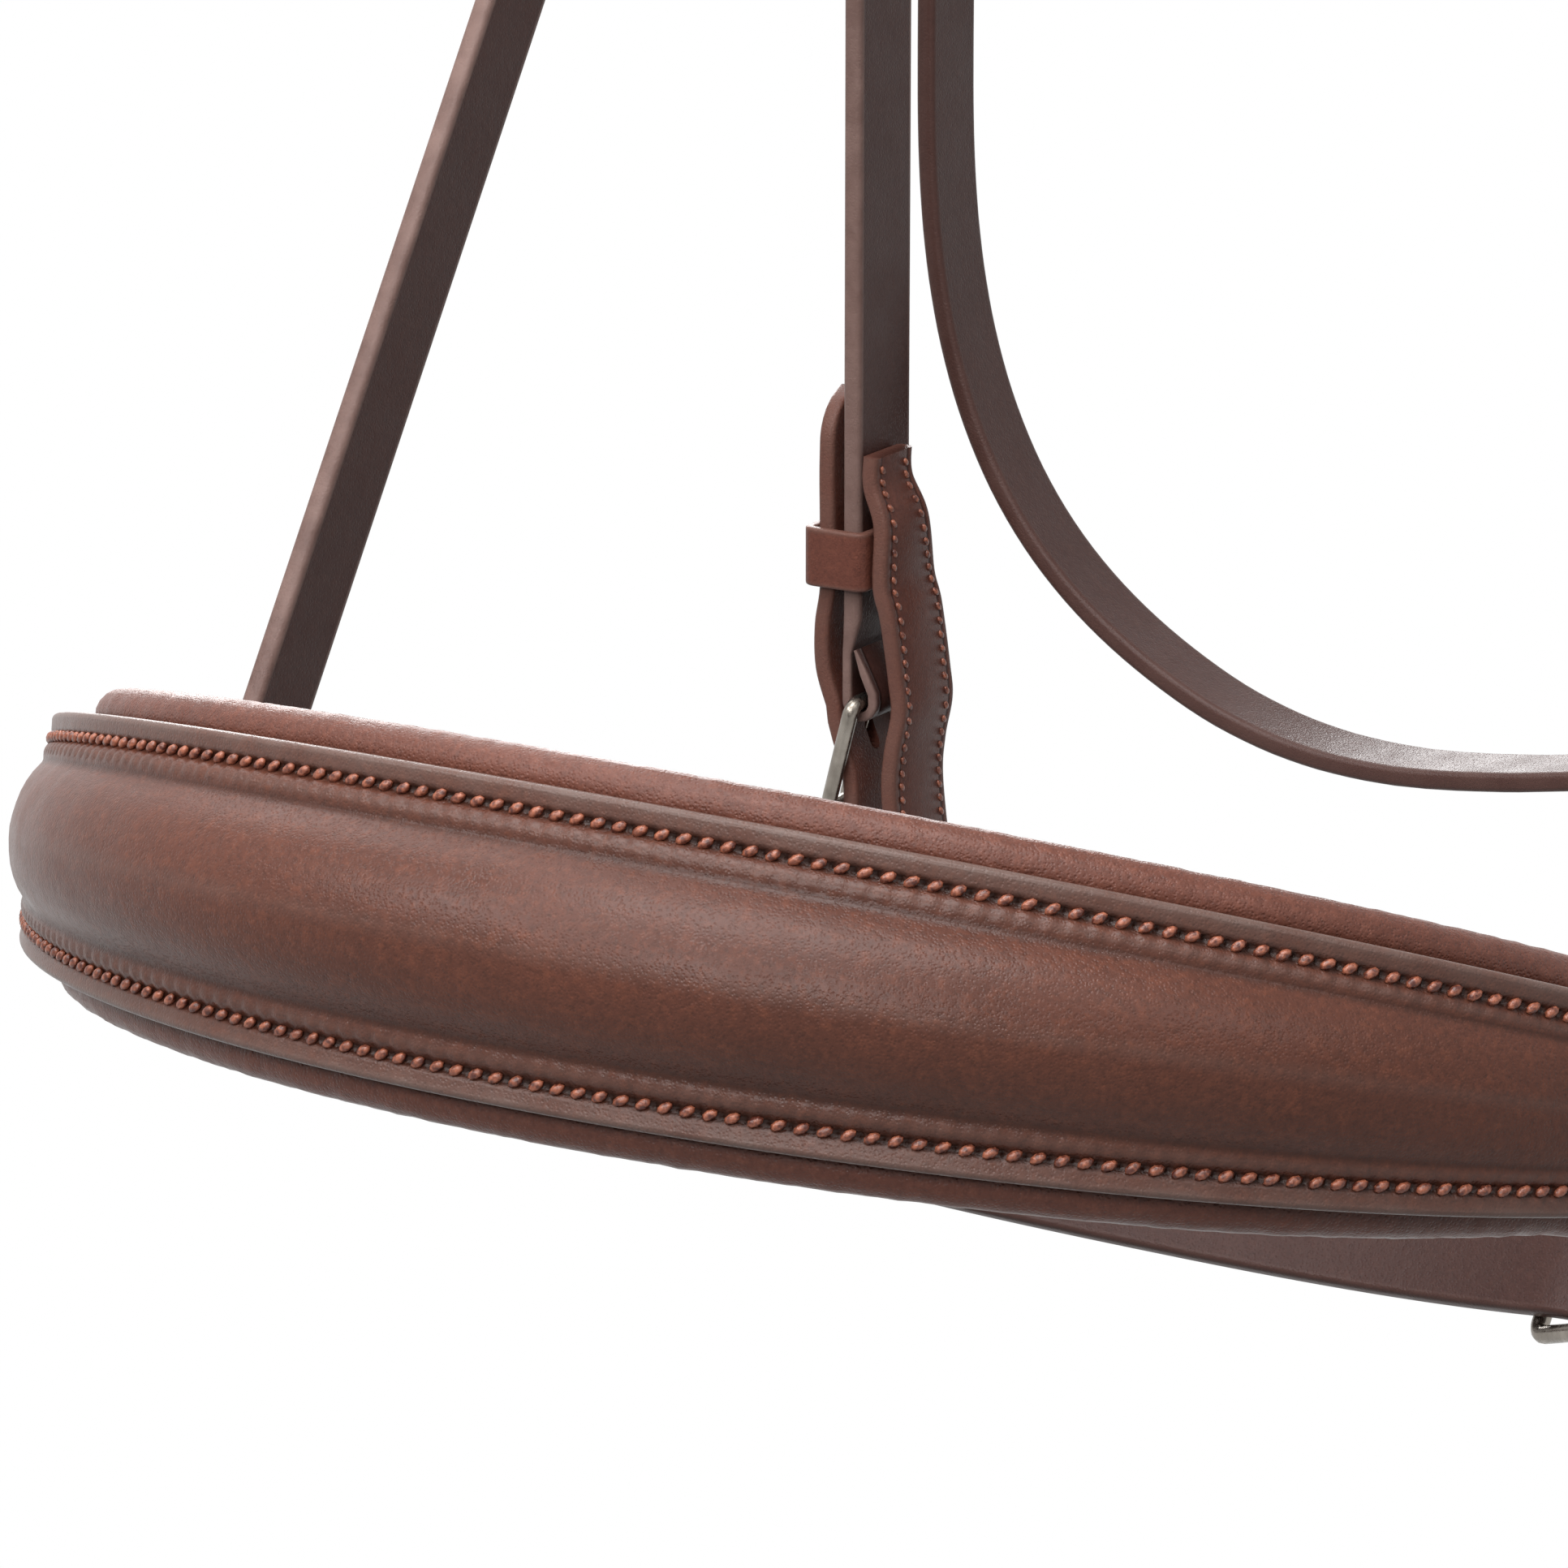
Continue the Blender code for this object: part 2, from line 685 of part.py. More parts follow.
def chin_strap():
    """Two straps from the noseband's ends that buckle behind the jaw."""
    track = chin_track()
    end = track.length()
    reverse = Track(list(reversed(track.points)), list(reversed(track.outwards)))
    bar_forward = end * chin_buckle_share
    bar = end - bar_forward
    run = [(distance, 0, billet_thickness) for distance in track.lengths
           if chin_start < distance < bar_forward - buckle_length - gap]
    name = "chin_billet"
    route = [(chin_start, 0, billet_thickness)] + run + rise_route(bar_forward)
    far = route[:-1]
    tail_stop = bar_forward + tail_length
    far += [(distance, over_offset, billet_thickness) for distance in track.lengths
            if bar_forward < distance < tail_stop - gap]
    far.append((tail_stop, over_offset, billet_thickness))
    billet = strap_along(name, track, far, chin_width, leather(name))
    punch_billet(billet, track, bar_forward)
    name = "chin_strap"
    stop = end - chin_start
    lengths = [distance for distance in track.lengths if bar_forward + keeper_place < distance < stop]
    route = [(stop, 0, strap_thickness)]
    route += [(distance, 0, strap_thickness) for distance in reversed(lengths)]
    strap = strap_along(name, track, chape_route(bar_forward, route), chin_width, leather(name))
    cut_chape(strap, track, bar_forward)
    buckle("chin", track, bar_forward, chin_width)
    low = -strap_thickness / 2 - chin_keeper_ease
    high = over_offset + billet_thickness / 2 + chin_keeper_ease
    keeper("chin_keeper", track, bar_forward + keeper_place, chin_width, low, high)


def browband():
    """The forehead strap and the loop at each end that slides on the crown's sides."""
    outer = crown_side_outer + gap + billet_thickness + brow_clearance
    inner = side_track(1, 0).points[0].x - strap_thickness / 2 - brow_clearance
    half = brow_loop_length / 2 + brow_thickness / 2
    up = Vector((0, 0, 1))
    for side, label in ((1, "left"), (-1, "right")):
        low = inner - brow_thickness / 2
        high = outer + brow_thickness / 2
        cut = brow_thickness / 2
        outline = ((low + cut, -half), (high - cut, -half), (high, -half + cut), (high, half - cut))
        outline += ((high - cut, half), (low + cut, half), (low, half - cut), (low, -half + cut))
        rings = []
        for step, (x, y) in enumerate(outline):
            before, after = outline[step - 1], outline[(step + 1) % len(outline)]
            run = Vector((side * (after[0] - before[0]), after[1] - before[1], 0)).normalized()
            place = Vector((side * x, y, -hinge_drop))
            rings.append(ring_at(place, up, run.cross(up), flat_section(brow_height, brow_thickness)))
        name = "browband_loop_" + label
        place_object(name, sweep_mesh(rings, True), leather(name))
    side_x = outer + brow_thickness + gap + brow_thickness / 2
    points = [Vector((-side_x, half - brow_thickness, -hinge_drop)), Vector((-side_x, -half, -hinge_drop))]
    for step in range(1, brow_steps):
        angle = pi * step / brow_steps
        power = brow_bow_share
        x = -side_x * abs(cos(angle)) ** power * (1 if angle < pi / 2 else -1)
        y = -half - (brow_forward - half) * sin(angle)
        points.append(Vector((x, y, -hinge_drop)))
    points += [Vector((side_x, -half, -hinge_drop)), Vector((side_x, half - brow_thickness, -hinge_drop))]
    rings = []
    for step, place in enumerate(points):
        before, after = points[max(step - 1, 0)], points[min(step + 1, len(points) - 1)]
        run = (after - before).normalized()
        rings.append(ring_at(place, up, run.cross(up), flat_section(brow_height, brow_thickness)))
    place_object("browband", sweep_mesh(rings, False), leather("browband"))


clear_scene()
crown()
browband()
for side, label in ((1, "left"), (-1, "right")):
    cheekpiece(side, label)
    hanger(side, label)
throatlash()
noseband()
chin_strap()
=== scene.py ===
from math import cos, pi, radians, sin

import bmesh
import bpy
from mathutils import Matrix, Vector
from mathutils.noise import noise as noiseAt


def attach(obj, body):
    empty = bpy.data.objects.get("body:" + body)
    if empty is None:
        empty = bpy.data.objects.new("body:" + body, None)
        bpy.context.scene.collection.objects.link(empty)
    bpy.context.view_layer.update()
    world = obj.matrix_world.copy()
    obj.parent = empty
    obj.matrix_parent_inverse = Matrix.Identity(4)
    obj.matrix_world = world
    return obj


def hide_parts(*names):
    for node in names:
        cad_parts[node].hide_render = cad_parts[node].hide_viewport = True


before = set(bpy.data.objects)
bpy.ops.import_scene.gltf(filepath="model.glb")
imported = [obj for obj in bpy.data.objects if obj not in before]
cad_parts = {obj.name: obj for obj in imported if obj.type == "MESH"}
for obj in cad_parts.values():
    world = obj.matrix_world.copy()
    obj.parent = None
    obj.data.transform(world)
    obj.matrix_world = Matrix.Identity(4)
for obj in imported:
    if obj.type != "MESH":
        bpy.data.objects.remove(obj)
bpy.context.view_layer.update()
print("frame loaded:", len(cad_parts), "nodes")

# fits shared by every strap and buckle, in metres
fit = {
    "gap": 0.0003,
    "strap": 0.0030,
    "billet": 0.0026,
    "skived": 0.0015,
    "wire": 0.0012,
    "tongue": 0.0009,
    "buckleLength": 0.0166,
    "farBarRise": 0.0028,
    "sideGap": 0.0006,
    "corner": 0.0016,
    "tail": 0.0467,
    "keeperPlace": 0.0219,
    "runnerPlace": 0.0350,
    "keeperHeight": 0.0090,
    "keeperThickness": 0.0015,
    "chapeReturn": 0.0125,
    "hingeDrop": 0.095,
    "pointTop": 0.009,
}
barOffset = fit["strap"] / 2 - fit["skived"] - fit["gap"] - fit["wire"]
foldRadius = fit["wire"] + fit["gap"] + fit["skived"] / 2
skivedOffset = (fit["strap"] - fit["skived"]) / 2
overOffset = fit["strap"] / 2 + 2 * fit["gap"] + fit["billet"] / 2


# small helpers

def addObject(name, data):
    made = bpy.data.objects.new(name, data)
    bpy.context.scene.collection.objects.link(made)
    return made


# the finished shape of a guide as a plain mesh; the guide itself goes
def meshFrom(guide):
    graph = bpy.context.evaluated_depsgraph_get()
    mesh = bpy.data.meshes.new_from_object(guide.evaluated_get(graph))
    bpy.data.objects.remove(guide, do_unlink=True)
    return mesh


# a closed mesh whose faces point outwards
def outwardMesh(name, corners, faces):
    mesh = bpy.data.meshes.new(name)
    mesh.from_pydata(corners, [], faces)
    shape = bmesh.new()
    shape.from_mesh(mesh)
    bmesh.ops.recalc_face_normals(shape, faces=shape.faces)
    shape.to_mesh(mesh)
    shape.free()
    return mesh


def newMaterial(name):
    material = bpy.data.materials.new(name)
    material.use_nodes = True
    return material, material.node_tree, material.node_tree.nodes["Principled BSDF"]


def combined(tree, operation, first, second):
    node = tree.nodes.new("ShaderNodeMath")
    node.operation = operation
    tree.links.new(first, node.inputs[0])
    tree.links.new(second, node.inputs[1])
    return node.outputs[0]


def easeInOut(share):
    return share * share * (3 - 2 * share)


# an oblong with round corners, from its right upper corner on
def roundedBox(left, right, low, high, corner, steps):
    outline = []
    for x, y, first in ((right, high, 0), (left, high, pi / 2), (left, low, pi), (right, low, 1.5 * pi)):
        inwardX = -corner if x == right else corner
        inwardY = -corner if y == high else corner
        for part in range(steps + 1):
            angle = first + 0.5 * pi * part / steps
            outline.append((x + inwardX + corner * cos(angle), y + inwardY + corner * sin(angle)))
    return outline


# camera and light

photoView = {
    "azimuth": 32.0,
    "elevation": 16.0,
    "place": (0.4095, -0.8467, -0.1671),
    "lens": 155.12,
    "sensor": 36.0,
    "farLimit": 20.0,
}


def makeCamera():
    data = bpy.data.cameras.new("photoCamera")
    data.lens = photoView["lens"]
    data.sensor_width = photoView["sensor"]
    data.clip_end = photoView["farLimit"]
    camera = addObject("photoCamera", data)
    camera.location = photoView["place"]
    camera.rotation_euler = (radians(90 - photoView["elevation"]), 0, radians(photoView["azimuth"]))
    bpy.context.scene.camera = camera


# each lamp has its place, its width and height, and its power
studio = {
    "floorHeight": -1.30,
    "floorSize": 6.0,
    "floorShade": 0.55,
    "floorRoughness": 0.9,
    "worldStrength": 0.06,
    "lamps": (
        ("topLamp", (0.0, -0.55, 0.68), (0.9, 0.7), 15.0),
        ("keyLamp", (-0.64, -1.02, 0.40), (0.7, 0.32), 6.0),
        ("frontLamp", (0.20, -1.27, 0.20), (0.85, 0.28), 7.5),
        ("fillLamp", (0.98, -0.50, 0.45), (0.5, 0.5), 2.4),
        ("lowRearLamp", (-0.80, 0.88, -0.10), (0.65, 0.4), 7.0),
        ("rearLamp", (-0.7, 0.25, 0.55), (0.9, 0.8), 6.0),
    ),
    "aim": (0.0, -0.15, -0.36),
}


# white where the camera or a reflection looks, plain light elsewhere
def whiteForView(tree, surface, plain):
    rays = tree.nodes.new("ShaderNodeLightPath")
    seen = rays.outputs["Is Camera Ray"]
    for label in ("Is Glossy Ray", "Is Transmission Ray"):
        seen = combined(tree, "MAXIMUM", seen, rays.outputs[label])
    mix = tree.nodes.new("ShaderNodeMixShader")
    tree.links.new(seen, mix.inputs["Fac"])
    tree.links.new(plain, mix.inputs[1])
    tree.links.new(surface, mix.inputs[2])
    return mix.outputs[0]


def makeWorld():
    world = bpy.data.worlds.new("studioWorld")
    world.use_nodes = True
    bpy.context.scene.world = world
    tree = world.node_tree
    plain = tree.nodes["Background"]
    white = tree.nodes.new("ShaderNodeBackground")
    for background, strength in ((plain, studio["worldStrength"]), (white, 1.0)):
        background.inputs["Color"].default_value = (1, 1, 1, 1)
        background.inputs["Strength"].default_value = strength
    shown = whiteForView(tree, white.outputs[0], plain.outputs[0])
    tree.links.new(shown, tree.nodes["World Output"].inputs["Surface"])


def makeLamps():
    for name, place, size, power in studio["lamps"]:
        data = bpy.data.lights.new(name, "AREA")
        data.shape = "RECTANGLE"
        data.size, data.size_y = size
        data.energy = power
        lamp = addObject(name, data)
        lamp.location = place
        toward = Vector(studio["aim"]) - Vector(place)
        lamp.rotation_euler = toward.to_track_quat("-Z", "Y").to_euler()


def makeFloor():
    half, height, shade = studio["floorSize"] / 2, studio["floorHeight"], studio["floorShade"]
    mesh = bpy.data.meshes.new("studioFloor")
    corners = [(-half, -half, height), (half, -half, height), (half, half, height), (-half, half, height)]
    mesh.from_pydata(corners, [], [(0, 1, 2, 3)])
    floor = addObject("studioFloor", mesh)
    material, tree, shader = newMaterial("floorPaper")
    shader.inputs["Base Color"].default_value = (shade, shade, shade, 1)
    shader.inputs["Roughness"].default_value = studio["floorRoughness"]
    glow = tree.nodes.new("ShaderNodeEmission")
    glow.inputs["Strength"].default_value = 1.0
    shown = whiteForView(tree, glow.outputs[0], shader.outputs[0])
    tree.links.new(shown, tree.nodes["Material Output"].inputs["Surface"])
    mesh.materials.append(material)


bpy.context.scene.view_settings.view_transform = "Standard"
makeCamera()
makeWorld()
makeLamps()
makeFloor()
print("camera and studio ready")


# materials

def groupSocket(group, name, kind, direction, value=None):
    socket = group.interface.new_socket(name=name, in_out=direction, socket_type=kind)
    if value is not None:
        socket.default_value = value


# a link where the value is another node's socket, else a plain value
def feed(tree, socket, value):
    if hasattr(value, "is_linked"):
        tree.links.new(value, socket)
    else:
        socket.default_value = value


def mixColour(tree, factor, first, second):
    node = tree.nodes.new("ShaderNodeMix")
    node.data_type = "RGBA"
    feed(tree, node.inputs[0], factor)
    feed(tree, node.inputs[6], first)
    feed(tree, node.inputs[7], second)
    return node.outputs[2]


def scaled(tree, value, low, high, newLow, newHigh):
    node = tree.nodes.new("ShaderNodeMapRange")
    tree.links.new(value, node.inputs["Value"])
    for name, number in (("From Min", low), ("From Max", high), ("To Min", newLow), ("To Max", newHigh)):
        feed(tree, node.inputs[name], number)
    return node.outputs["Result"]


def noise(tree, vector, size, detail=3.0, rough=0.5):
    node = tree.nodes.new("ShaderNodeTexNoise")
    node.inputs["Scale"].default_value = size
    node.inputs["Detail"].default_value = detail
    node.inputs["Roughness"].default_value = rough
    tree.links.new(vector, node.inputs["Vector"])
    return node.outputs["Fac"]


# a mask that the piece's mesh carries
def meshMask(tree, name):
    node = tree.nodes.new("ShaderNodeAttribute")
    node.attribute_name = name
    return node.outputs["Fac"]


def bumpFrom(tree, shader, height, strength, depth):
    bump = tree.nodes.new("ShaderNodeBump")
    bump.inputs["Strength"].default_value = strength
    bump.inputs["Distance"].default_value = depth
    tree.links.new(height, bump.inputs["Height"])
    tree.links.new(bump.outputs["Normal"], shader.inputs["Normal"])


# size, detail and roughness of each layer of noise, and what all leathers share
grain = {
    "broad": (38.0, 3.0, 0.55),
    "cloudy": (150.0, 4.0, 0.6),
    "flecks": (700.0, 5.0, 0.7),
    "fine": (1500.0, 2.0, 0.6),
    "pores": 2300.0,
    "bumpDepth": 0.0005,
    # the near-black of the painted shade in grooves
    "paintedShadeColour": (0.006, 0.003, 0.002, 1),
}
colourLabels = ("Base", "Deep", "Pale", "Edge Burnish And Painted Light")
amountLabels = ("Mottle", "Edge", "Low Roughness", "High Roughness")


# pores and mottling of oiled leather, edges in a colour of burnish mixed with painted edge light and shade,
# and grooves darkened with painted shade
def leatherGroup():
    tree = bpy.data.node_groups.new("oiledLeather", "ShaderNodeTree")
    for label in colourLabels:
        groupSocket(tree, label, "NodeSocketColor", "INPUT")
    for label in amountLabels:
        groupSocket(tree, label, "NodeSocketFloat", "INPUT")
    groupSocket(tree, "Colour", "NodeSocketColor", "OUTPUT")
    groupSocket(tree, "Roughness", "NodeSocketFloat", "OUTPUT")
    groupSocket(tree, "Height", "NodeSocketFloat", "OUTPUT")
    given = tree.nodes.new("NodeGroupInput").outputs
    result = tree.nodes.new("NodeGroupOutput").inputs
    coords = tree.nodes.new("ShaderNodeTexCoord").outputs["Object"]

    broad = noise(tree, coords, *grain["broad"])
    cloudy = noise(tree, coords, *grain["cloudy"])
    flecks = noise(tree, coords, *grain["flecks"])
    fine = noise(tree, coords, *grain["fine"])
    pores = tree.nodes.new("ShaderNodeTexVoronoi")
    pores.feature = "F1"
    pores.inputs["Scale"].default_value = grain["pores"]
    tree.links.new(coords, pores.inputs["Vector"])

    # mottled colour with pale patches and dark specks
    colour = mixColour(tree, scaled(tree, broad, 0.3, 0.7, 0.0, 1.0), given["Deep"], given["Base"])
    colour = mixColour(tree, 0.35, given["Base"], colour)
    patches = combined(tree, "MULTIPLY", scaled(tree, flecks, 0.48, 0.74, 0.0, 0.55), given["Mottle"])
    colour = mixColour(tree, patches, colour, given["Pale"])
    colour = mixColour(tree, scaled(tree, fine, 0.28, 0.52, 0.45, 0.0), colour, given["Deep"])

    # edges: real burnish mixed with painted light on lit edges and painted shade on shaded ones; grooves:
    # painted shade
    wearAndLight = combined(tree, "MULTIPLY", meshMask(tree, "edgeWearAndLight"), given["Edge"])
    rubbedAndLit = combined(tree, "MULTIPLY", wearAndLight, scaled(tree, cloudy, 0.3, 0.7, 0.45, 1.0))
    colour = mixColour(tree, rubbedAndLit, colour, given["Edge Burnish And Painted Light"])
    dark = mixColour(tree, 0.6, given["Deep"], grain["paintedShadeColour"])
    groove = scaled(tree, meshMask(tree, "grooveShade"), 0, 1, 0, 0.9)
    tree.links.new(mixColour(tree, groove, colour, dark), result["Colour"])

    sheen = scaled(tree, cloudy, 0.3, 0.7, given["Low Roughness"], given["High Roughness"])
    tree.links.new(sheen, result["Roughness"])

    poreHeight = scaled(tree, pores.outputs["Distance"], 0.0, 0.5, 0.0, 0.35)
    height = combined(tree, "ADD", poreHeight, scaled(tree, flecks, 0.0, 1.0, 0.0, 0.6))
    height = combined(tree, "ADD", height, scaled(tree, cloudy, 0.0, 1.0, 0.0, 0.9))
    tree.links.new(height, result["Height"])
    return tree


leatherNodes = leatherGroup()

# every edge colour is partly real burnish and partly painted light: grey like sheen on the band's flange,
# pale like lit edges on the straps
leatherLooks = {
    "bandLeather": {
        "Base": (0.103, 0.035, 0.022, 1),
        "Deep": (0.038, 0.013, 0.008, 1),
        "Pale": (0.190, 0.062, 0.034, 1),
        "Edge Burnish And Painted Light": (0.150, 0.104, 0.090, 1),
        "Mottle": 0.9, "Edge": 0.8, "Low Roughness": 0.26, "High Roughness": 0.37,
        "bump": 0.28, "specular": 0.22,
    },
    "strapLeather": {
        "Base": (0.062, 0.026, 0.021, 1),
        "Deep": (0.030, 0.012, 0.010, 1),
        "Pale": (0.110, 0.050, 0.038, 1),
        "Edge Burnish And Painted Light": (0.230, 0.150, 0.130, 1),
        "Mottle": 0.5, "Edge": 0.85, "Low Roughness": 0.32, "High Roughness": 0.44,
        "bump": 0.22, "specular": 0.16,
    },
    # a copy of the strap leather whose edges are painted dark as painted shade; the throatlash and chin
    # strap use it
    "shadedEdgeLeather": {
        "Base": (0.062, 0.026, 0.021, 1),
        "Deep": (0.030, 0.012, 0.010, 1),
        "Pale": (0.110, 0.050, 0.038, 1),
        "Edge Burnish And Painted Light": (0.085, 0.044, 0.037, 1),
        "Mottle": 0.5, "Edge": 0.85, "Low Roughness": 0.34, "High Roughness": 0.44,
        "bump": 0.22, "specular": 0.18,
    },
    "billetLeather": {
        "Base": (0.125, 0.043, 0.030, 1),
        "Deep": (0.055, 0.019, 0.014, 1),
        "Pale": (0.200, 0.070, 0.046, 1),
        "Edge Burnish And Painted Light": (0.130, 0.066, 0.052, 1),
        "Mottle": 0.8, "Edge": 0.85, "Low Roughness": 0.32, "High Roughness": 0.44,
        "bump": 0.25, "specular": 0.15,
    },
    "softLining": {
        "Base": (0.130, 0.043, 0.028, 1),
        "Deep": (0.050, 0.016, 0.011, 1),
        "Pale": (0.235, 0.085, 0.055, 1),
        "Edge Burnish And Painted Light": (0.170, 0.085, 0.065, 1),
        "Mottle": 0.9, "Edge": 0.3, "Low Roughness": 0.30, "High Roughness": 0.44,
        "bump": 0.42, "specular": 0.24,
    },
}


def makeLeather(name):
    look = leatherLooks[name]
    material, tree, shader = newMaterial(name)
    leather = tree.nodes.new("ShaderNodeGroup")
    leather.node_tree = leatherNodes
    for label in colourLabels + amountLabels:
        leather.inputs[label].default_value = look[label]
    tree.links.new(leather.outputs["Colour"], shader.inputs["Base Color"])
    tree.links.new(leather.outputs["Roughness"], shader.inputs["Roughness"])
    bumpFrom(tree, shader, leather.outputs["Height"], look["bump"], grain["bumpDepth"])
    shader.inputs["Specular IOR Level"].default_value = look["specular"]
    return material


threadLook = {
    "Base": (0.075, 0.016, 0.009, 1),
    # the lighter colour is partly real twist tone and partly painted glints
    "Light": (0.36, 0.115, 0.062, 1),
    "roughness": 0.34,
    "twist": 1500.0,
    "bump": 0.8,
    "bumpDepth": 0.0002,
}


def makeThread():
    material, tree, shader = newMaterial("rustThread")
    coords = tree.nodes.new("ShaderNodeTexCoord").outputs["Object"]
    fibres = noise(tree, coords, threadLook["twist"], 2.0)
    # lighter patches of thread stand partly for its twist and partly for painted glints
    shade = scaled(tree, fibres, 0.35, 0.65, 0.0, 1.0)
    colour = mixColour(tree, shade, threadLook["Base"], threadLook["Light"])
    tree.links.new(colour, shader.inputs["Base Color"])
    shader.inputs["Roughness"].default_value = threadLook["roughness"]
    bumpFrom(tree, shader, fibres, threadLook["bump"], threadLook["bumpDepth"])
    return material


steelLook = {
    "Base": (0.30, 0.27, 0.235, 1),
    "Dull": (0.15, 0.13, 0.11, 1),
    "Low Roughness": 0.20,
    "High Roughness": 0.38,
    "brushing": 2400.0,
    "brushStretch": 0.12,
    "tarnish": 260.0,
    "bump": 0.12,
    "bumpDepth": 0.0001,
}


def makeSteel():
    material, tree, shader = newMaterial("brushedSteel")
    coords = tree.nodes.new("ShaderNodeTexCoord").outputs["Object"]
    stretch = tree.nodes.new("ShaderNodeMapping")
    stretch.inputs["Scale"].default_value = (1.0, 1.0, steelLook["brushStretch"])
    tree.links.new(coords, stretch.inputs["Vector"])
    brushing = noise(tree, stretch.outputs["Vector"], steelLook["brushing"])
    tarnish = scaled(tree, noise(tree, coords, steelLook["tarnish"]), 0.4, 0.7, 0.0, 0.8)
    colour = mixColour(tree, tarnish, steelLook["Base"], steelLook["Dull"])
    tree.links.new(colour, shader.inputs["Base Color"])
    rough = scaled(tree, brushing, 0.3, 0.7, steelLook["Low Roughness"], steelLook["High Roughness"])
    tree.links.new(rough, shader.inputs["Roughness"])
    shader.inputs["Metallic"].default_value = 1.0
    bumpFrom(tree, shader, brushing, steelLook["bump"], steelLook["bumpDepth"])
    return material


bandLeather = makeLeather("bandLeather")
strapLeather = makeLeather("strapLeather")
shadedEdgeLeather = makeLeather("shadedEdgeLeather")
billetLeather = makeLeather("billetLeather")
softLining = makeLeather("softLining")
rustThread = makeThread()
brushedSteel = makeSteel()
print("materials ready")


# tracks: lines that straps follow, with an outward direction at each distance

# how far along a line each of its points lies
def distancesAlong(points):
    distances = [0.0]
    for before, after in zip(points, points[1:]):
        distances.append(distances[-1] + (after - before).length)
    return distances


# the direction of a line at each of its points
def directionsAlong(points):
    directions = []
    for index in range(len(points)):
        before, after = points[max(index - 1, 0)], points[min(index + 1, len(points) - 1)]
        directions.append((after - before).normalized())
    return directions


def makeTrack(points, outwards):
    return {"points": points, "outwards": outwards, "lengths": distancesAlong(points)}


# the point, the direction along, the direction across and the outward one at a distance
def trackFrame(track, distance):
    points, lengths = track["points"], track["lengths"]
    low, high = 0, len(points) - 2
    while low < high:
        middle = (low + high) // 2
        if lengths[middle + 1] < distance:
            low = middle + 1
        else:
            high = middle
    step = low
    start, end = points[step], points[step + 1]
    share = (distance - lengths[step]) / (end - start).length
    before, after = points[max(step - 1, 0)], points[min(step + 2, len(points) - 1)]
    held = min(max(share, 0), 1)
    along = (end - before).normalized().lerp((after - start).normalized(), held).normalized()
    outward = track["outwards"][step].lerp(track["outwards"][step + 1], held)
    outward = (outward - along * outward.dot(along)).normalized()
    return start.lerp(end, share), along, along.cross(outward), outward


def placeOn(track, distance, offset):
    point, along, across, outward = trackFrame(track, distance)
    return point + outward * offset, across


# sweeps: rings of corners that are joined to one closed skin

strapShape = {
    "edgeRadiusShare": 0.30,
    "creaseInset": 0.0017,
    "creaseDepth": 0.00014,
    "creaseHalf": 0.0004,
    "cornerSteps": 4,
    "tipSteps": 8,
    "tipWidthShare": 0.16,
    "waveGrain": 60,
    "sharpAngle": 50,
    "ringStep": 0.0025,
}


def newSweep():
    return {"rings": [], "edgeWearAndLight": [], "grooveShade": []}


# the profile's corners are (across, outward, how much edge colour of burnish and painted light, how much
# painted groove shade)
def addRing(sweep, point, across, outward, profile):
    sweep["rings"].append([point + across * side + outward * out for side, out, wearAndLight, dark in profile])
    sweep["edgeWearAndLight"] += [wearAndLight for side, out, wearAndLight, dark in profile]
    sweep["grooveShade"] += [dark for side, out, wearAndLight, dark in profile]


def finishSweep(name, sweep, closed, material):
    rings = sweep["rings"]
    count, total = len(rings[0]), len(rings)
    faces = []
    for step in range(total if closed else total - 1):
        here = step * count
        following = (step + 1) % total * count
        for corner in range(count):
            beside = (corner + 1) % count
            faces.append((here + corner, here + beside, following + beside, following + corner))
    if not closed:
        faces.append(tuple(range(count)))
        faces.append(tuple(range((total - 1) * count, total * count)))
    mesh = outwardMesh(name, [corner for ring in rings for corner in ring], faces)
    for label in ("edgeWearAndLight", "grooveShade"):
        layer = mesh.attributes.new(label, "FLOAT", "POINT")
        layer.data.foreach_set("value", sweep[label])
    mesh.materials.append(material)
    mesh.shade_smooth()
    mesh.set_sharp_from_angle(angle=radians(strapShape["sharpAngle"]))
    return addObject(name, mesh)


def settle(piece, body, nodes):
    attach(piece, body)
    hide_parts(*nodes)
    return piece


# round edges, a rim on both faces in an edge colour of burnish and painted light, and near each edge of the
# outer face a crease darkened with painted shade
def strapProfile(width, thickness):
    half, deep = width / 2, thickness / 2
    radius = min(thickness * strapShape["edgeRadiusShare"], half * 0.9)
    inset = min(strapShape["creaseInset"], half * 0.6)
    crease = min(strapShape["creaseHalf"], inset * 0.2)
    creaseSteps = ((crease, 0, 0.1), (0, strapShape["creaseDepth"], 1.0), (-crease, 0, 0.1))
    rim = (half - radius * 1.25, half - (radius * 0.6 + inset * 0.4))
    profile = []
    for side, out, first in ((-1, -1, pi), (1, -1, 1.5 * pi), (1, 1, 0), (-1, 1, 0.5 * pi)):
        corner = []
        for step in range(strapShape["cornerSteps"] + 1):
            angle = first + 0.5 * pi * step / strapShape["cornerSteps"]
            corner.append((side * (half - radius) + radius * cos(angle),
                           out * (deep - radius) + radius * sin(angle), 1.0, 0.0))
        flat = [(side * rim[0], out * deep, 0.5, 0.0), (side * rim[1], out * deep, 0.0, 0.0)]
        profile += corner + flat if side == out else list(reversed(flat)) + corner
        if (side, out) == (1, 1):
            for way in (1, -1):
                for move, drop, shade in creaseSteps:
                    profile.append((way * (half - inset) + move, deep - drop, 0.0, shade))
    return profile


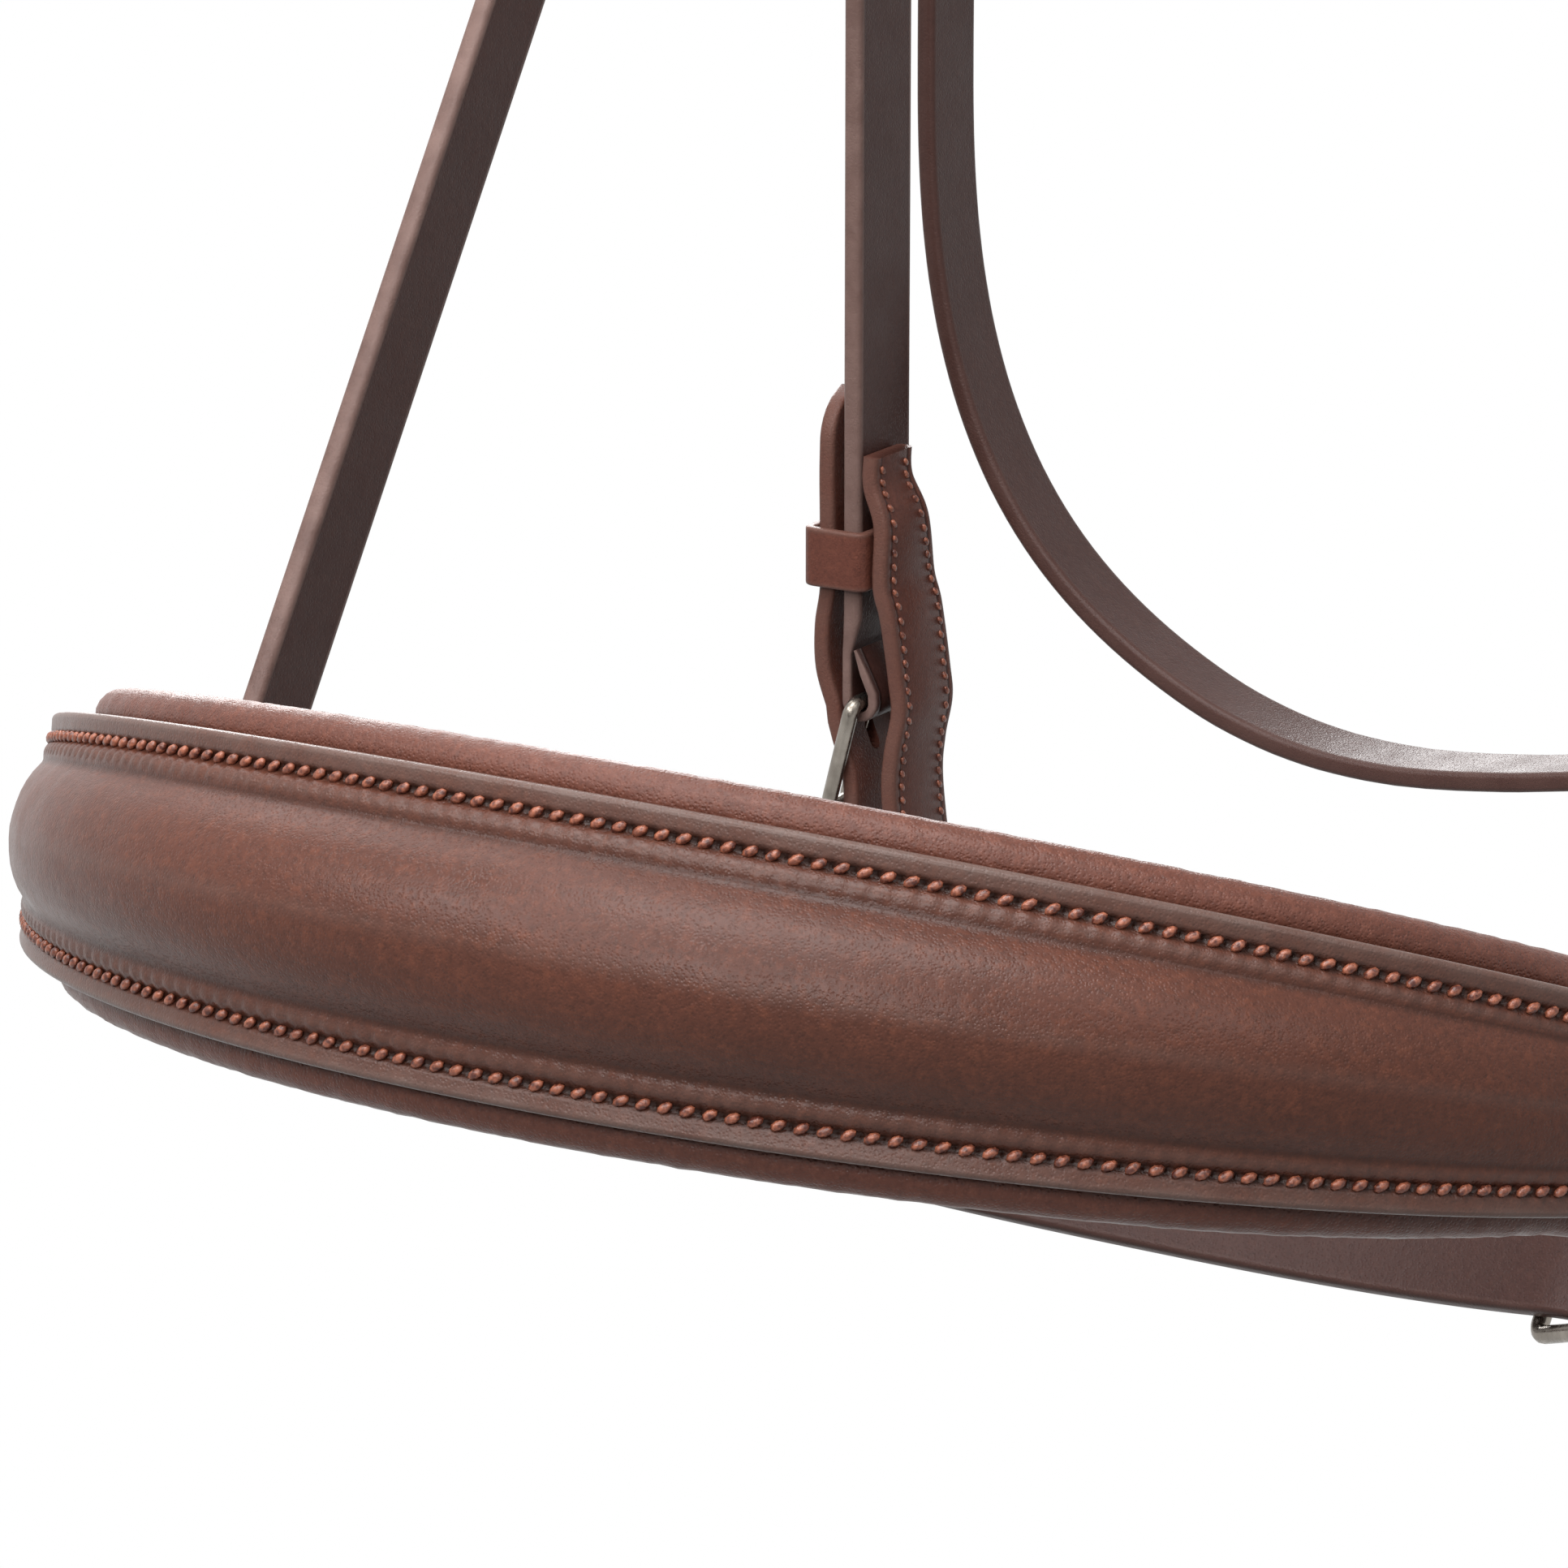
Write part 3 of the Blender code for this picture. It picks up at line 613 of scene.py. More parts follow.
# more places along a route, easing each change of offset and thickness
def denseRoute(route, step):
    dense = [route[0]]
    for before, after in zip(route, route[1:]):
        reach = abs(after[0] - before[0])
        count = max(1, int(reach / step + 0.5))
        for part in range(1, count + 1):
            share = part / count
            eased = easeInOut(share) if count > 1 else share
            dense.append((before[0] + (after[0] - before[0]) * share,
                          before[1] + (after[1] - before[1]) * eased,
                          before[2] + (after[2] - before[2]) * eased))
    return dense


# width shares that round off a strap's tip, whose length is a share of half the width
def tipShares(places, width, endTip):
    travelled = distancesAlong(places)
    shares = []
    for here in travelled:
        reach = travelled[-1] - here
        rest = max(0, 1 - reach / (width * 0.5 * endTip)) if endTip else 0
        shares.append(max(strapShape["tipWidthShare"], (1 - rest * rest) ** 0.5))
    return shares


# point, direction along, direction across and outward at each place of a route
def sweptSpots(track, dense):
    spots = [placeOn(track, distance, offset) for distance, offset, thickness in dense]
    result = []
    for index, (point, across) in enumerate(spots):
        before = spots[max(index - 1, 0)][0]
        after = spots[min(index + 1, len(spots) - 1)][0]
        along = (after - before).normalized()
        result.append((point, along, across, across.cross(along).normalized()))
    return result


holeSizes = {
    "width": 0.0024,
    "length": 0.0030,
    "pitch": 0.0127,
    "tongueLength": 0.0078,
    "tonguePlace": 0.0052,
    "reach": 0.006,
    "aboveBuckle": 4,
    "endSteps": 6,
}


# corners and faces of an oval prism through a strap
def holeCutter(track, centre, length, width, low, high):
    point, along, across, outward = trackFrame(track, centre)
    outline = []
    for end, first in ((1, -0.5 * pi), (-1, 0.5 * pi)):
        for part in range(holeSizes["endSteps"] + 1):
            angle = first + pi * part / holeSizes["endSteps"]
            outline.append(along * (end * (length - width) / 2 + width / 2 * cos(angle))
                           + across * (width / 2 * sin(angle)))
    count = len(outline)
    corners = [point + outward * offset + entry for offset in (low, high) for entry in outline]
    faces = []
    for step in range(count):
        beside = (step + 1) % count
        faces.append((step, beside, beside + count, step + count))
    faces += [tuple(range(count)), tuple(range(count, 2 * count))]
    return corners, faces


# every cut is (centre, length, width, low, high)
def cutHoles(piece, track, cuts):
    corners, faces = [], []
    for cut in cuts:
        more, walls = holeCutter(track, *cut)
        faces += [tuple(corner + len(corners) for corner in face) for face in walls]
        corners += more
    cutter = addObject("holeCutter", outwardMesh("holeCutter", corners, faces))
    modifier = piece.modifiers.new("holes", "BOOLEAN")
    modifier.operation = "DIFFERENCE"
    modifier.solver = "EXACT"
    modifier.object = cutter
    graph = bpy.context.evaluated_depsgraph_get()
    cutMesh = bpy.data.meshes.new_from_object(piece.evaluated_get(graph))
    piece.modifiers.remove(modifier)
    piece.data = cutMesh
    bpy.data.objects.remove(cutter, do_unlink=True)


# the tongue's hole and the spare ones of a billet, over its buckle
def billetHoles(bar, low=None):
    length, width, reach = holeSizes["length"], holeSizes["width"], holeSizes["reach"]
    low = -reach if low is None else low
    tonguePlace = bar - holeSizes["tonguePlace"]
    cuts = [(tonguePlace, holeSizes["tongueLength"], width, low, reach * 2)]
    for count in range(1, holeSizes["aboveBuckle"]):
        centre = tonguePlace - fit["buckleLength"] - holeSizes["pitch"] * (count - 0.5)
        cuts.append((centre, length, width, low, reach))
    cuts.append((bar + holeSizes["pitch"] * 0.75, length, width, fit["strap"] / 2, reach * 2))
    return cuts


# the slot that the tongue turns in, through the fold
def foldSlot(bar):
    return (bar, 2 * foldRadius + 4 * fit["tongue"], 2 * fit["tongue"] + 2 * fit["gap"],
            -fit["buckleLength"] / 2, fit["strap"] * 0.6)


# how much the rear edge of a sewn end is pared away, this far from its end
def narrowing(most, travelled):
    return most * (1 - easeInOut(min(1, travelled / bitSizes["narrowReach"])))


# endTip rounds off the last end, wave lets the strap wander sideways
# narrow pares the rear edge of the first end, cuts are holes and slots
def strapPiece(name, track, route, width, material, body, nodes, endTip=0, wave=0, cuts=(), narrow=0):
    if route[0][0] > route[-1][0]:
        route = list(reversed(route))
    dense = denseRoute(route, strapShape["ringStep"])
    if endTip:
        last = dense[-1]
        reach = width * 0.5 * endTip
        dense = [entry for entry in dense if abs(entry[0] - last[0]) > reach or entry[1] != last[1]]
        for part in range(strapShape["tipSteps"] + 1):
            rounding = cos(0.5 * pi * part / strapShape["tipSteps"])
            dense.append((last[0] - reach * rounding, last[1], last[2]))
    spots = sweptSpots(track, dense)
    shares = tipShares([spot[0] for spot in spots], width, endTip)
    sweep = newSweep()
    for index, (point, along, across, outward) in enumerate(spots):
        cut = narrowing(narrow, (point - spots[0][0]).length)
        profile = strapProfile(width * shares[index] - cut, dense[index][2])
        point = point - across * cut / 2 * (1 if across.y > 0 else -1)
        if wave:
            point = point + across * wave * noiseAt(point * strapShape["waveGrain"])
        addRing(sweep, point, across, outward, profile)
    piece = finishSweep(name, sweep, False, material)
    if cuts:
        cutHoles(piece, track, cuts)
    return settle(piece, body, nodes)


# the same places joined by a smooth curve of their offsets
def smoothRoute(route, parts=10):
    smooth = [route[0]]
    for index in range(len(route) - 1):
        before, here = route[max(index - 1, 0)], route[index]
        after, beyond = route[index + 1], route[min(index + 2, len(route) - 1)]
        for part in range(1, parts + 1):
            share = part / parts
            entry = []
            for axis in range(2):
                one, two, three, four = before[axis], here[axis], after[axis], beyond[axis]
                entry.append(0.5 * (2 * two + (three - one) * share
                                    + (2 * one - 5 * two + 4 * three - four) * share ** 2
                                    + (3 * two - one - 3 * three + four) * share ** 3))
            smooth.append((entry[0], entry[1], here[2]))
    return smooth


def arcRoute(centre, drop, radius, start, end, steps, thickness):
    route = []
    for part in range(steps + 1):
        angle = start + (end - start) * part / steps
        route.append((centre + radius * sin(angle), drop + radius * cos(angle), thickness))
    return route


def riseRoute(bar):
    start = bar - fit["buckleLength"] + fit["farBarRise"]
    return [(start, 0, fit["billet"]), (bar - fit["wire"], overOffset, fit["billet"]),
            (bar + fit["tail"], overOffset, fit["billet"])]


# the outer run of a bit billet, which stands off between its buckle and its keeper
def bulgeRoute(bar):
    reach, thick = fit["keeperPlace"], fit["billet"]
    start, end = bar - fit["buckleLength"] + fit["farBarRise"], bar + fit["tail"]
    kept = overOffset + bitSizes["keeperLift"] * 0.85
    free = overOffset + thick * 0.4
    places = [
        (bar - fit["wire"], overOffset),
        (bar + reach * 0.2, overOffset + thick * 0.65),
        (bar + reach * 0.5, overOffset + thick * 0.7),
        (bar + reach * 0.78, kept),
        (bar + reach * 1.22, kept),
        (bar + reach * 1.5, free),
        (end - bitSizes["tipFlat"], free),
        (end, free),
    ]
    return [(start, 0, thick)] + smoothRoute([(distance, offset, thick) for distance, offset in places], 6)


# the thinned return end of a fold: shares of its length, of its offset and of its thickness
foldReturn = ((0.12, 0.97, 1.0), (0.36, 0.58, 0.85), (0.64, 0.21, 0.3))
foldSteps = 14


# out to the buckle bar, round it and back along the inside
def foldRoute(bar):
    route = [(bar + fit["keeperPlace"] - fit["keeperHeight"], 0, fit["strap"]),
             (bar + fit["keeperPlace"] / 3, skivedOffset, fit["skived"])]
    route += arcRoute(bar, barOffset, foldRadius, 0, -pi, foldSteps, fit["skived"])
    inner = barOffset - foldRadius
    for reach, offset, thick in foldReturn:
        route.append((bar + fit["chapeReturn"] * reach, inner * offset, fit["skived"] * thick))
    return route


# metal

wireLook = {"roundness": 4, "sharpAngle": 60, "cornerSteps": 6, "eyeSteps": 18, "eyeTurn": 280}


def wirePiece(name, points, radius, closed, body, nodes):
    data = bpy.data.curves.new(name, "CURVE")
    data.dimensions = "3D"
    data.bevel_depth = radius
    data.bevel_resolution = wireLook["roundness"]
    data.use_fill_caps = not closed
    spline = data.splines.new("POLY")
    spline.points.add(len(points) - 1)
    for entry, point in zip(spline.points, points):
        entry.co = (point.x, point.y, point.z, 1)
    spline.use_cyclic_u = closed
    mesh = meshFrom(addObject(name + "Guide", data))
    mesh.materials.clear()
    mesh.materials.append(brushedSteel)
    mesh.shade_smooth()
    mesh.set_sharp_from_angle(angle=radians(wireLook["sharpAngle"]))
    return settle(addObject(name, mesh), body, nodes)


def bucklePieces(name, track, bar, width, body):
    half = width / 2 + fit["sideGap"] + fit["wire"]
    length = fit["buckleLength"]
    outline = roundedBox(-half, half, -length / 2, length / 2, fit["corner"], wireLook["cornerSteps"])
    points = []
    for acrossPlace, lengthPlace in outline:
        share = 0.5 - lengthPlace / length
        offset = barOffset + (fit["farBarRise"] - barOffset) * share
        point, across = placeOn(track, bar - length * share, offset)
        points.append(point + across * acrossPlace)
    wirePiece(name + "Frame", points, fit["wire"], True, body, [name + "_buckle"])

    # the tongue curls round the bar and lies on the far end of the frame
    eye = fit["wire"] + fit["gap"] + fit["tongue"]
    tip = fit["farBarRise"] + eye
    points = []
    for part in range(wireLook["eyeSteps"] + 1):
        angle = radians(wireLook["eyeTurn"]) * (1 - part / wireLook["eyeSteps"])
        points.append(placeOn(track, bar + eye * sin(angle), barOffset + eye * cos(angle))[0])
    for past in (0, 2 * fit["tongue"]):
        points.append(placeOn(track, bar - length - past, tip)[0])
    wirePiece(name + "Tongue", points, fit["tongue"], False, body, [name + "_tongue"])


keeperShape = {"cornerShare": 0.8, "cornerSteps": 4}


# ease is extra room under and over the straps, lift is extra room over a billet that stands off
def keeperPiece(name, track, centre, width, body, node, ease=0, lift=0):
    thickness = fit["keeperThickness"]
    half = width / 2 + fit["gap"] + thickness / 2
    low = -fit["strap"] / 2 - fit["gap"] - thickness / 2 - ease
    high = overOffset + fit["billet"] / 2 + fit["gap"] + thickness / 2 + ease + lift
    outline = roundedBox(-half, half, low, high, thickness * keeperShape["cornerShare"],
                         keeperShape["cornerSteps"])
    point, along, across, outward = trackFrame(track, centre)
    profile = strapProfile(fit["keeperHeight"], thickness)
    sweep = newSweep()
    for index, (side, out) in enumerate(outline):
        before, after = outline[index - 1], outline[(index + 1) % len(outline)]
        run = (across * (after[0] - before[0]) + outward * (after[1] - before[1])).normalized()
        addRing(sweep, point + across * side + outward * out, along, run.cross(along), profile)
    return settle(finishSweep(name, sweep, True, billetLeather), body, [node])


# stitches, by Geometry Nodes on guide points

stitchLook = {
    "length": 0.0020,
    "width": 0.00115,
    "height": 0.0010,
    "slant": radians(34),
    "pitch": 0.0026,
    "guideStep": 0.001,
    "segments": 8,
    "rings": 5,
}


def stitchTree():
    tree = bpy.data.node_groups.new("stitchRow", "GeometryNodeTree")
    tree.is_modifier = True
    groupSocket(tree, "Geometry", "NodeSocketGeometry", "INPUT")
    for label in ("Length", "Width", "Height", "Slant"):
        groupSocket(tree, label, "NodeSocketFloat", "INPUT", stitchLook[label.lower()])
    groupSocket(tree, "Thread", "NodeSocketMaterial", "INPUT")
    groupSocket(tree, "Geometry", "NodeSocketGeometry", "OUTPUT")
    add, link = tree.nodes.new, tree.links.new
    given, result = add("NodeGroupInput"), add("NodeGroupOutput")

    # one bead of thread, to size and slanted
    bead = add("GeometryNodeMeshUVSphere")
    bead.inputs["Segments"].default_value = stitchLook["segments"]
    bead.inputs["Rings"].default_value = stitchLook["rings"]
    bead.inputs["Radius"].default_value = 0.5
    size = add("ShaderNodeCombineXYZ")
    link(given.outputs["Length"], size.inputs["X"])
    link(given.outputs["Width"], size.inputs["Y"])
    link(given.outputs["Height"], size.inputs["Z"])
    shaped = add("GeometryNodeTransform")
    link(bead.outputs["Mesh"], shaped.inputs["Geometry"])
    link(size.outputs["Vector"], shaped.inputs["Scale"])
    turn = add("ShaderNodeCombineXYZ")
    link(given.outputs["Slant"], turn.inputs["Z"])
    slanted = add("GeometryNodeTransform")
    link(shaped.outputs["Geometry"], slanted.inputs["Geometry"])
    link(turn.outputs["Vector"], slanted.inputs["Rotation"])

    # a bead on every guide point, along its row and facing outwards
    facing = add("FunctionNodeAxesToRotation")
    facing.primary_axis = "Z"
    facing.secondary_axis = "X"
    for label, axis in (("stitchOut", "Primary Axis"), ("stitchAlong", "Secondary Axis")):
        direction = add("GeometryNodeInputNamedAttribute")
        direction.data_type = "FLOAT_VECTOR"
        direction.inputs["Name"].default_value = label
        link(direction.outputs["Attribute"], facing.inputs[axis])
    rows = add("GeometryNodeInstanceOnPoints")
    link(given.outputs["Geometry"], rows.inputs["Points"])
    link(slanted.outputs["Geometry"], rows.inputs["Instance"])
    link(facing.outputs["Rotation"], rows.inputs["Rotation"])
    solid = add("GeometryNodeRealizeInstances")
    link(rows.outputs["Instances"], solid.inputs["Geometry"])
    smooth = add("GeometryNodeSetShadeSmooth")
    link(solid.outputs["Geometry"], smooth.inputs["Geometry"])
    painted = add("GeometryNodeSetMaterial")
    link(smooth.outputs["Geometry"], painted.inputs["Geometry"])
    link(given.outputs["Thread"], painted.inputs["Material"])
    link(painted.outputs["Geometry"], result.inputs["Geometry"])
    return tree


stitchNodes = stitchTree()


# spots are (point, direction along, outward direction) of each stitch
def stitchPiece(name, spots, body, sizeShare=1.0):
    guideMesh = bpy.data.meshes.new(name + "Guide")
    guideMesh.from_pydata([spot[0] for spot in spots], [], [])
    for label, index in (("stitchAlong", 1), ("stitchOut", 2)):
        layer = guideMesh.attributes.new(label, "FLOAT_VECTOR", "POINT")
        layer.data.foreach_set("vector", [value for spot in spots for value in spot[index]])
    guide = addObject(name + "Guide", guideMesh)
    modifier = guide.modifiers.new("stitches", "NODES")
    modifier.node_group = stitchNodes
    sizes = {
        "Length": stitchLook["length"] * sizeShare,
        "Width": stitchLook["width"] * sizeShare,
        "Height": stitchLook["height"] * sizeShare,
        "Slant": stitchLook["slant"],
        "Thread": rustThread,
    }
    for item in stitchNodes.interface.items_tree:
        if item.in_out == "INPUT" and item.name in sizes:
            modifier[item.identifier] = sizes[item.name]
    piece = addObject(name, meshFrom(guide))
    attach(piece, body)
    return piece


# stitch places along a route, to one side of its middle, on its outer face
def rowSpots(track, route, side, start, end, pitch):
    dense = denseRoute(route, stitchLook["guideStep"])
    swept = sweptSpots(track, dense)
    travelled = distancesAlong([spot[0] for spot in swept])
    total = travelled[-1] - start - end
    count = max(1, int(total / pitch))
    spots, step = [], 0
    for part in range(count + 1):
        wanted = start + total * part / count
        while step < len(swept) - 2 and travelled[step + 1] < wanted:
            step += 1
        share = (wanted - travelled[step]) / max(travelled[step + 1] - travelled[step], 1e-9)
        point = swept[step][0].lerp(swept[step + 1][0], min(share, 1))
        along, across, outward = swept[step][1:]
        thick = dense[step][2]
        spots.append((point + outward * thick / 2 + across * side, along, outward))
    return spots


# a row near each edge of the outer face
def bothRows(track, route, width, start, end, inset, pitch):
    spots = []
    for side in (width / 2 - inset, inset - width / 2):
        spots += rowSpots(track, route, side, start, end, pitch)
    return spots


# straps of each side of the head

sides = ((1, "left"), (-1, "right"))

cheekSizes = {
    "width": 0.015,
    "layer": 0.0995,
    "y": -0.006,
    "buckleDrop": 0.240,
    "bitDrop": 0.4342,
    "trackLength": 0.39,
}

bitSizes = {
    "loopDrop": 0.0640,
    "loopRadius": 0.0065,
    "loopRunShare": 0.85,
    "wave": 0.0006,
    "swell": 0.0016,
    "narrow": 0.0042,
    "narrowReach": 0.022,
    "sewnShare": 0.8,
    "keeperLift": 0.0011,
    "tipFlat": 0.009,
    "loopSteps": 22,
    "stitchInset": 0.0021,
    "stitchPitch": 0.0021,
    "stitchStart": 0.002,
    "stitchEnd": 0.001,
    "stitchShare": 0.82,
}


# a straight track, from a height down or up
def uprightTrack(side, height, reach):
    foot = Vector((side * cheekSizes["layer"], cheekSizes["y"], height))
    return makeTrack([foot, foot + Vector((0, 0, reach))], [Vector((side, 0, 0))] * 2)


# down inside the keeper and the fold, bulging where they are, then round the bit's loop
def bitBilletRoute(bar):
    half = fit["billet"] / 2
    sewn = -fit["strap"] / 2 - fit["gap"] - half
    pastKeeper = sewn - fit["keeperThickness"] - fit["gap"] * 1.5
    pastFold = barOffset - foldRadius - fit["skived"] / 2 - fit["gap"] * 1.5 - half
    loopInner = -2 * bitSizes["loopRadius"]
    keeperPlace, reach = fit["keeperPlace"], fit["keeperHeight"]
    swell = bitSizes["swell"]
    places = [
        (bar + fit["tail"] - reach, sewn),
        (bar + keeperPlace + reach * 1.25, sewn),
        (bar + keeperPlace + reach * 0.6, pastKeeper),
        (bar + keeperPlace - reach * 0.4, pastKeeper),
        (bar + fit["chapeReturn"] * 1.06, pastFold),
        (bar + fit["chapeReturn"] * 0.3, pastFold - swell * 0.7),
        (bar - fit["chapeReturn"] * 0.1, pastFold - swell),
        (bar - fit["buckleLength"] * 0.45, pastFold - swell * 0.4),
        (bar - fit["buckleLength"] * 0.9, pastFold - swell * 0.3),
        (bar - fit["buckleLength"] * 2, loopInner * 2 / 3),
        (bar - bitSizes["loopDrop"] * bitSizes["loopRunShare"], loopInner),
    ]
    route = smoothRoute([(distance, offset, fit["billet"]) for distance, offset in places])
    bottom, radius = bar - bitSizes["loopDrop"], bitSizes["loopRadius"]
    route += arcRoute(bottom, -radius, radius, -pi, 0, bitSizes["loopSteps"], fit["billet"])
    return route


def makeCheekpiece(side, label):
    body = "cheekpiece_" + label
    width, bar, low = cheekSizes["width"], cheekSizes["buckleDrop"], cheekSizes["bitDrop"]
    track = uprightTrack(side, 0, -cheekSizes["trackLength"])
    top = fit["hingeDrop"] - fit["pointTop"]
    flat = (fit["strap"] - fit["billet"]) / 2
    strapPiece("cheekPoint_" + label, track, [(top, flat, fit["billet"])] + riseRoute(bar), width,
               strapLeather, body, ["cheek_point_" + label], endTip=1, cuts=billetHoles(bar))

    route = list(reversed(foldRoute(bar)))
    route += [(2 * low - distance, offset, thick) for distance, offset, thick in foldRoute(low)]
    strapPiece("cheekStrap_" + label, track, route, width, strapLeather, body, ["cheek_strap_" + label],
               cuts=[foldSlot(bar), foldSlot(low)])
    bucklePieces("cheek_" + label, track, bar, width, body)
    keeperPiece("cheekKeeper_" + label, track, bar + fit["keeperPlace"], width, body,
                "cheek_keeper_" + label)
    keeperPiece("cheekRunner_" + label, track, bar + fit["runnerPlace"], width, "runner_" + label,
                "cheek_runner_" + label)

    # the bit's end is built upwards, on a track that reaches from twice the bit buckle's drop up to it
    upward = uprightTrack(side, -2 * low, low)
    billet = bitBilletRoute(low)
    strapPiece("bitBillet_" + label, upward, billet + bulgeRoute(low), width, billetLeather, body,
               ["bit_billet_" + label], endTip=1, wave=bitSizes["wave"], cuts=billetHoles(low, barOffset),
               narrow=bitSizes["narrow"])
    sewn = [entry for entry in billet if entry[0] > low - bitSizes["loopDrop"] * bitSizes["sewnShare"]]
    spots = bothRows(upward, sewn, width, bitSizes["stitchStart"], bitSizes["stitchEnd"],
                     bitSizes["stitchInset"], bitSizes["stitchPitch"])
    first = spots[0][0]
    pared = []
    for point, along, out in spots:
        behind = point.y > cheekSizes["y"]
        cut = narrowing(bitSizes["narrow"], abs(point.z - first.z)) if behind else 0
        pared.append((point - Vector((0, cut, 0)), along, out))
    stitchPiece("bitStitches_" + label, pared, body, bitSizes["stitchShare"])
    bucklePieces("bit_" + label, upward, low, width, body)
    keeperPiece("bitKeeper_" + label, upward, low + fit["keeperPlace"], width, body, "bit_keeper_" + label,
                lift=bitSizes["keeperLift"])


hangerSizes = {
    "width": 0.0127,
    "topY": -0.008,
    "buckleDrop": 0.256,
    "lean": radians(32.8),
    "footBack": 0.0032,
    "footRise": 0.0037,
    "bendShare": 0.4,
    "layerTop": 0.1096,
    "bendSteps": 40,
    "footSteps": 10,
}

noseSizes = {
    "drop": 0.390,
    "forward": 0.258,
    "halfWidth": 0.118,
    "depth": 0.112,
    "tilt": radians(16.7),
    "frontHeight": 0.036,
    "sideHeight": 0.024,
    "raise": 0.0065,
    "leather": 0.0030,
    "sideLayer": 0.0046,
    "overlap": 0.020,
    "taperShare": 0.78,
    "steps": 180,
    "ringStep": 0.00065,
    "endWidthShare": 0.45,
    "endPower": 2.6,
    "rowInset": 0.0031,
    "rowSink": 0.00012,
    "stitchWander": 0.16,
    "wanderGrain": 900,
    "stitchShare": 1.05,
}


# the place and drop of a hanger's foot, beside the place where the noseband is widest
def hangerFoot():
    lean = noseSizes["tilt"]
    widestY = noseSizes["depth"] * cos(lean) - noseSizes["forward"]
    widestDrop = noseSizes["drop"] + noseSizes["depth"] * sin(lean)
    return widestY + hangerSizes["footBack"], widestDrop - hangerSizes["footRise"]


def hangerTrack(side):
    layerFoot = noseSizes["halfWidth"] - noseSizes["leather"] - fit["gap"] - noseSizes["sideLayer"] / 2
    angle = hangerSizes["lean"]
    lean = Vector((0, -sin(angle), -cos(angle)))
    footY, footDrop = hangerFoot()
    foot = Vector((0, footY, -footDrop))
    straight = (footDrop - hangerSizes["buckleDrop"]) / cos(angle) + 2 * fit["buckleLength"]
    knee = foot - lean * straight
    top = Vector((0, hangerSizes["topY"], -fit["hingeDrop"] + fit["pointTop"]))
    reach = (top - knee).length * hangerSizes["bendShare"]
    handle, second = top + Vector((0, 0, -reach)), knee - lean * reach
    points = []
    for step in range(hangerSizes["bendSteps"] + 1):
        share = step / hangerSizes["bendSteps"]
        rest = 1 - share
        points.append(top * rest ** 3 + handle * 3 * rest ** 2 * share
                      + second * 3 * rest * share ** 2 + knee * share ** 3)
    for step in range(1, hangerSizes["footSteps"] + 1):
        points.append(knee + lean * straight * step / hangerSizes["footSteps"])
    line = []
    for place in points:
        share = (top.z - place.z) / (top.z - foot.z)
        layer = hangerSizes["layerTop"] + (layerFoot - hangerSizes["layerTop"]) * share
        line.append(Vector((side * layer, place.y, place.z)))
    return makeTrack(line, [Vector((side, 0, 0))] * len(line))


def makeHanger(side, label):
    track = hangerTrack(side)
    end = track["lengths"][-1]
    width = hangerSizes["width"]
    bar = end - (hangerFoot()[1] - hangerSizes["buckleDrop"]) / cos(hangerSizes["lean"])
    route = [(0, 0, fit["billet"]), (bar - fit["buckleLength"], 0, fit["billet"])] + riseRoute(bar)
    strapPiece("hangerPoint_" + label, track, route, width, strapLeather, "noseband",
               ["hanger_point_" + label], endTip=1, cuts=billetHoles(bar))
    route = [(end, 0, fit["strap"])] + foldRoute(bar)
    strapPiece("hangerStrap_" + label, track, route, width, strapLeather, "noseband", ["hanger_" + label],
               cuts=[foldSlot(bar)])
    bucklePieces("hanger_" + label, track, bar, width, "noseband")
    keeperPiece("hangerKeeper_" + label, track, bar + fit["keeperPlace"], width, "noseband",
                "hanger_keeper_" + label)


for side, label in sides:
    makeCheekpiece(side, label)
    makeHanger(side, label)
print("cheekpieces and hangers built")


# throatlash

throatSizes = {
    "width": 0.0127,
    "y": 0.0134,
    "levelDrop": 0.3385,
    "depth": 0.100,
    "roundness": 2.7,
    "buckleDrop": 0.195,
    "steps": 90,
}
# how far the strap hangs above its even curve, by place across, in metres
throatHang = (
    (-0.0955, 0.0), (-0.083, 0.0), (-0.0715, 0.0), (-0.060, -0.0004), (-0.0485, -0.0012), (-0.035, -0.0015),
    (-0.0215, -0.0009), (-0.0107, 0.0002), (0.0015, 0.0018), (0.0098, 0.0032), (0.020, 0.0045),
    (0.035, 0.0052), (0.055, 0.0044), (0.075, 0.0020), (0.0955, 0.0),
)
throatLift = smoothRoute([(across, lift, 0) for across, lift in throatHang], 6)


def liftAt(across):
    for before, after in zip(throatLift, throatLift[1:]):
        if before[0] <= across < after[0]:
            return before[1] + (after[1] - before[1]) * (across - before[0]) / (after[0] - before[0])
    return 0


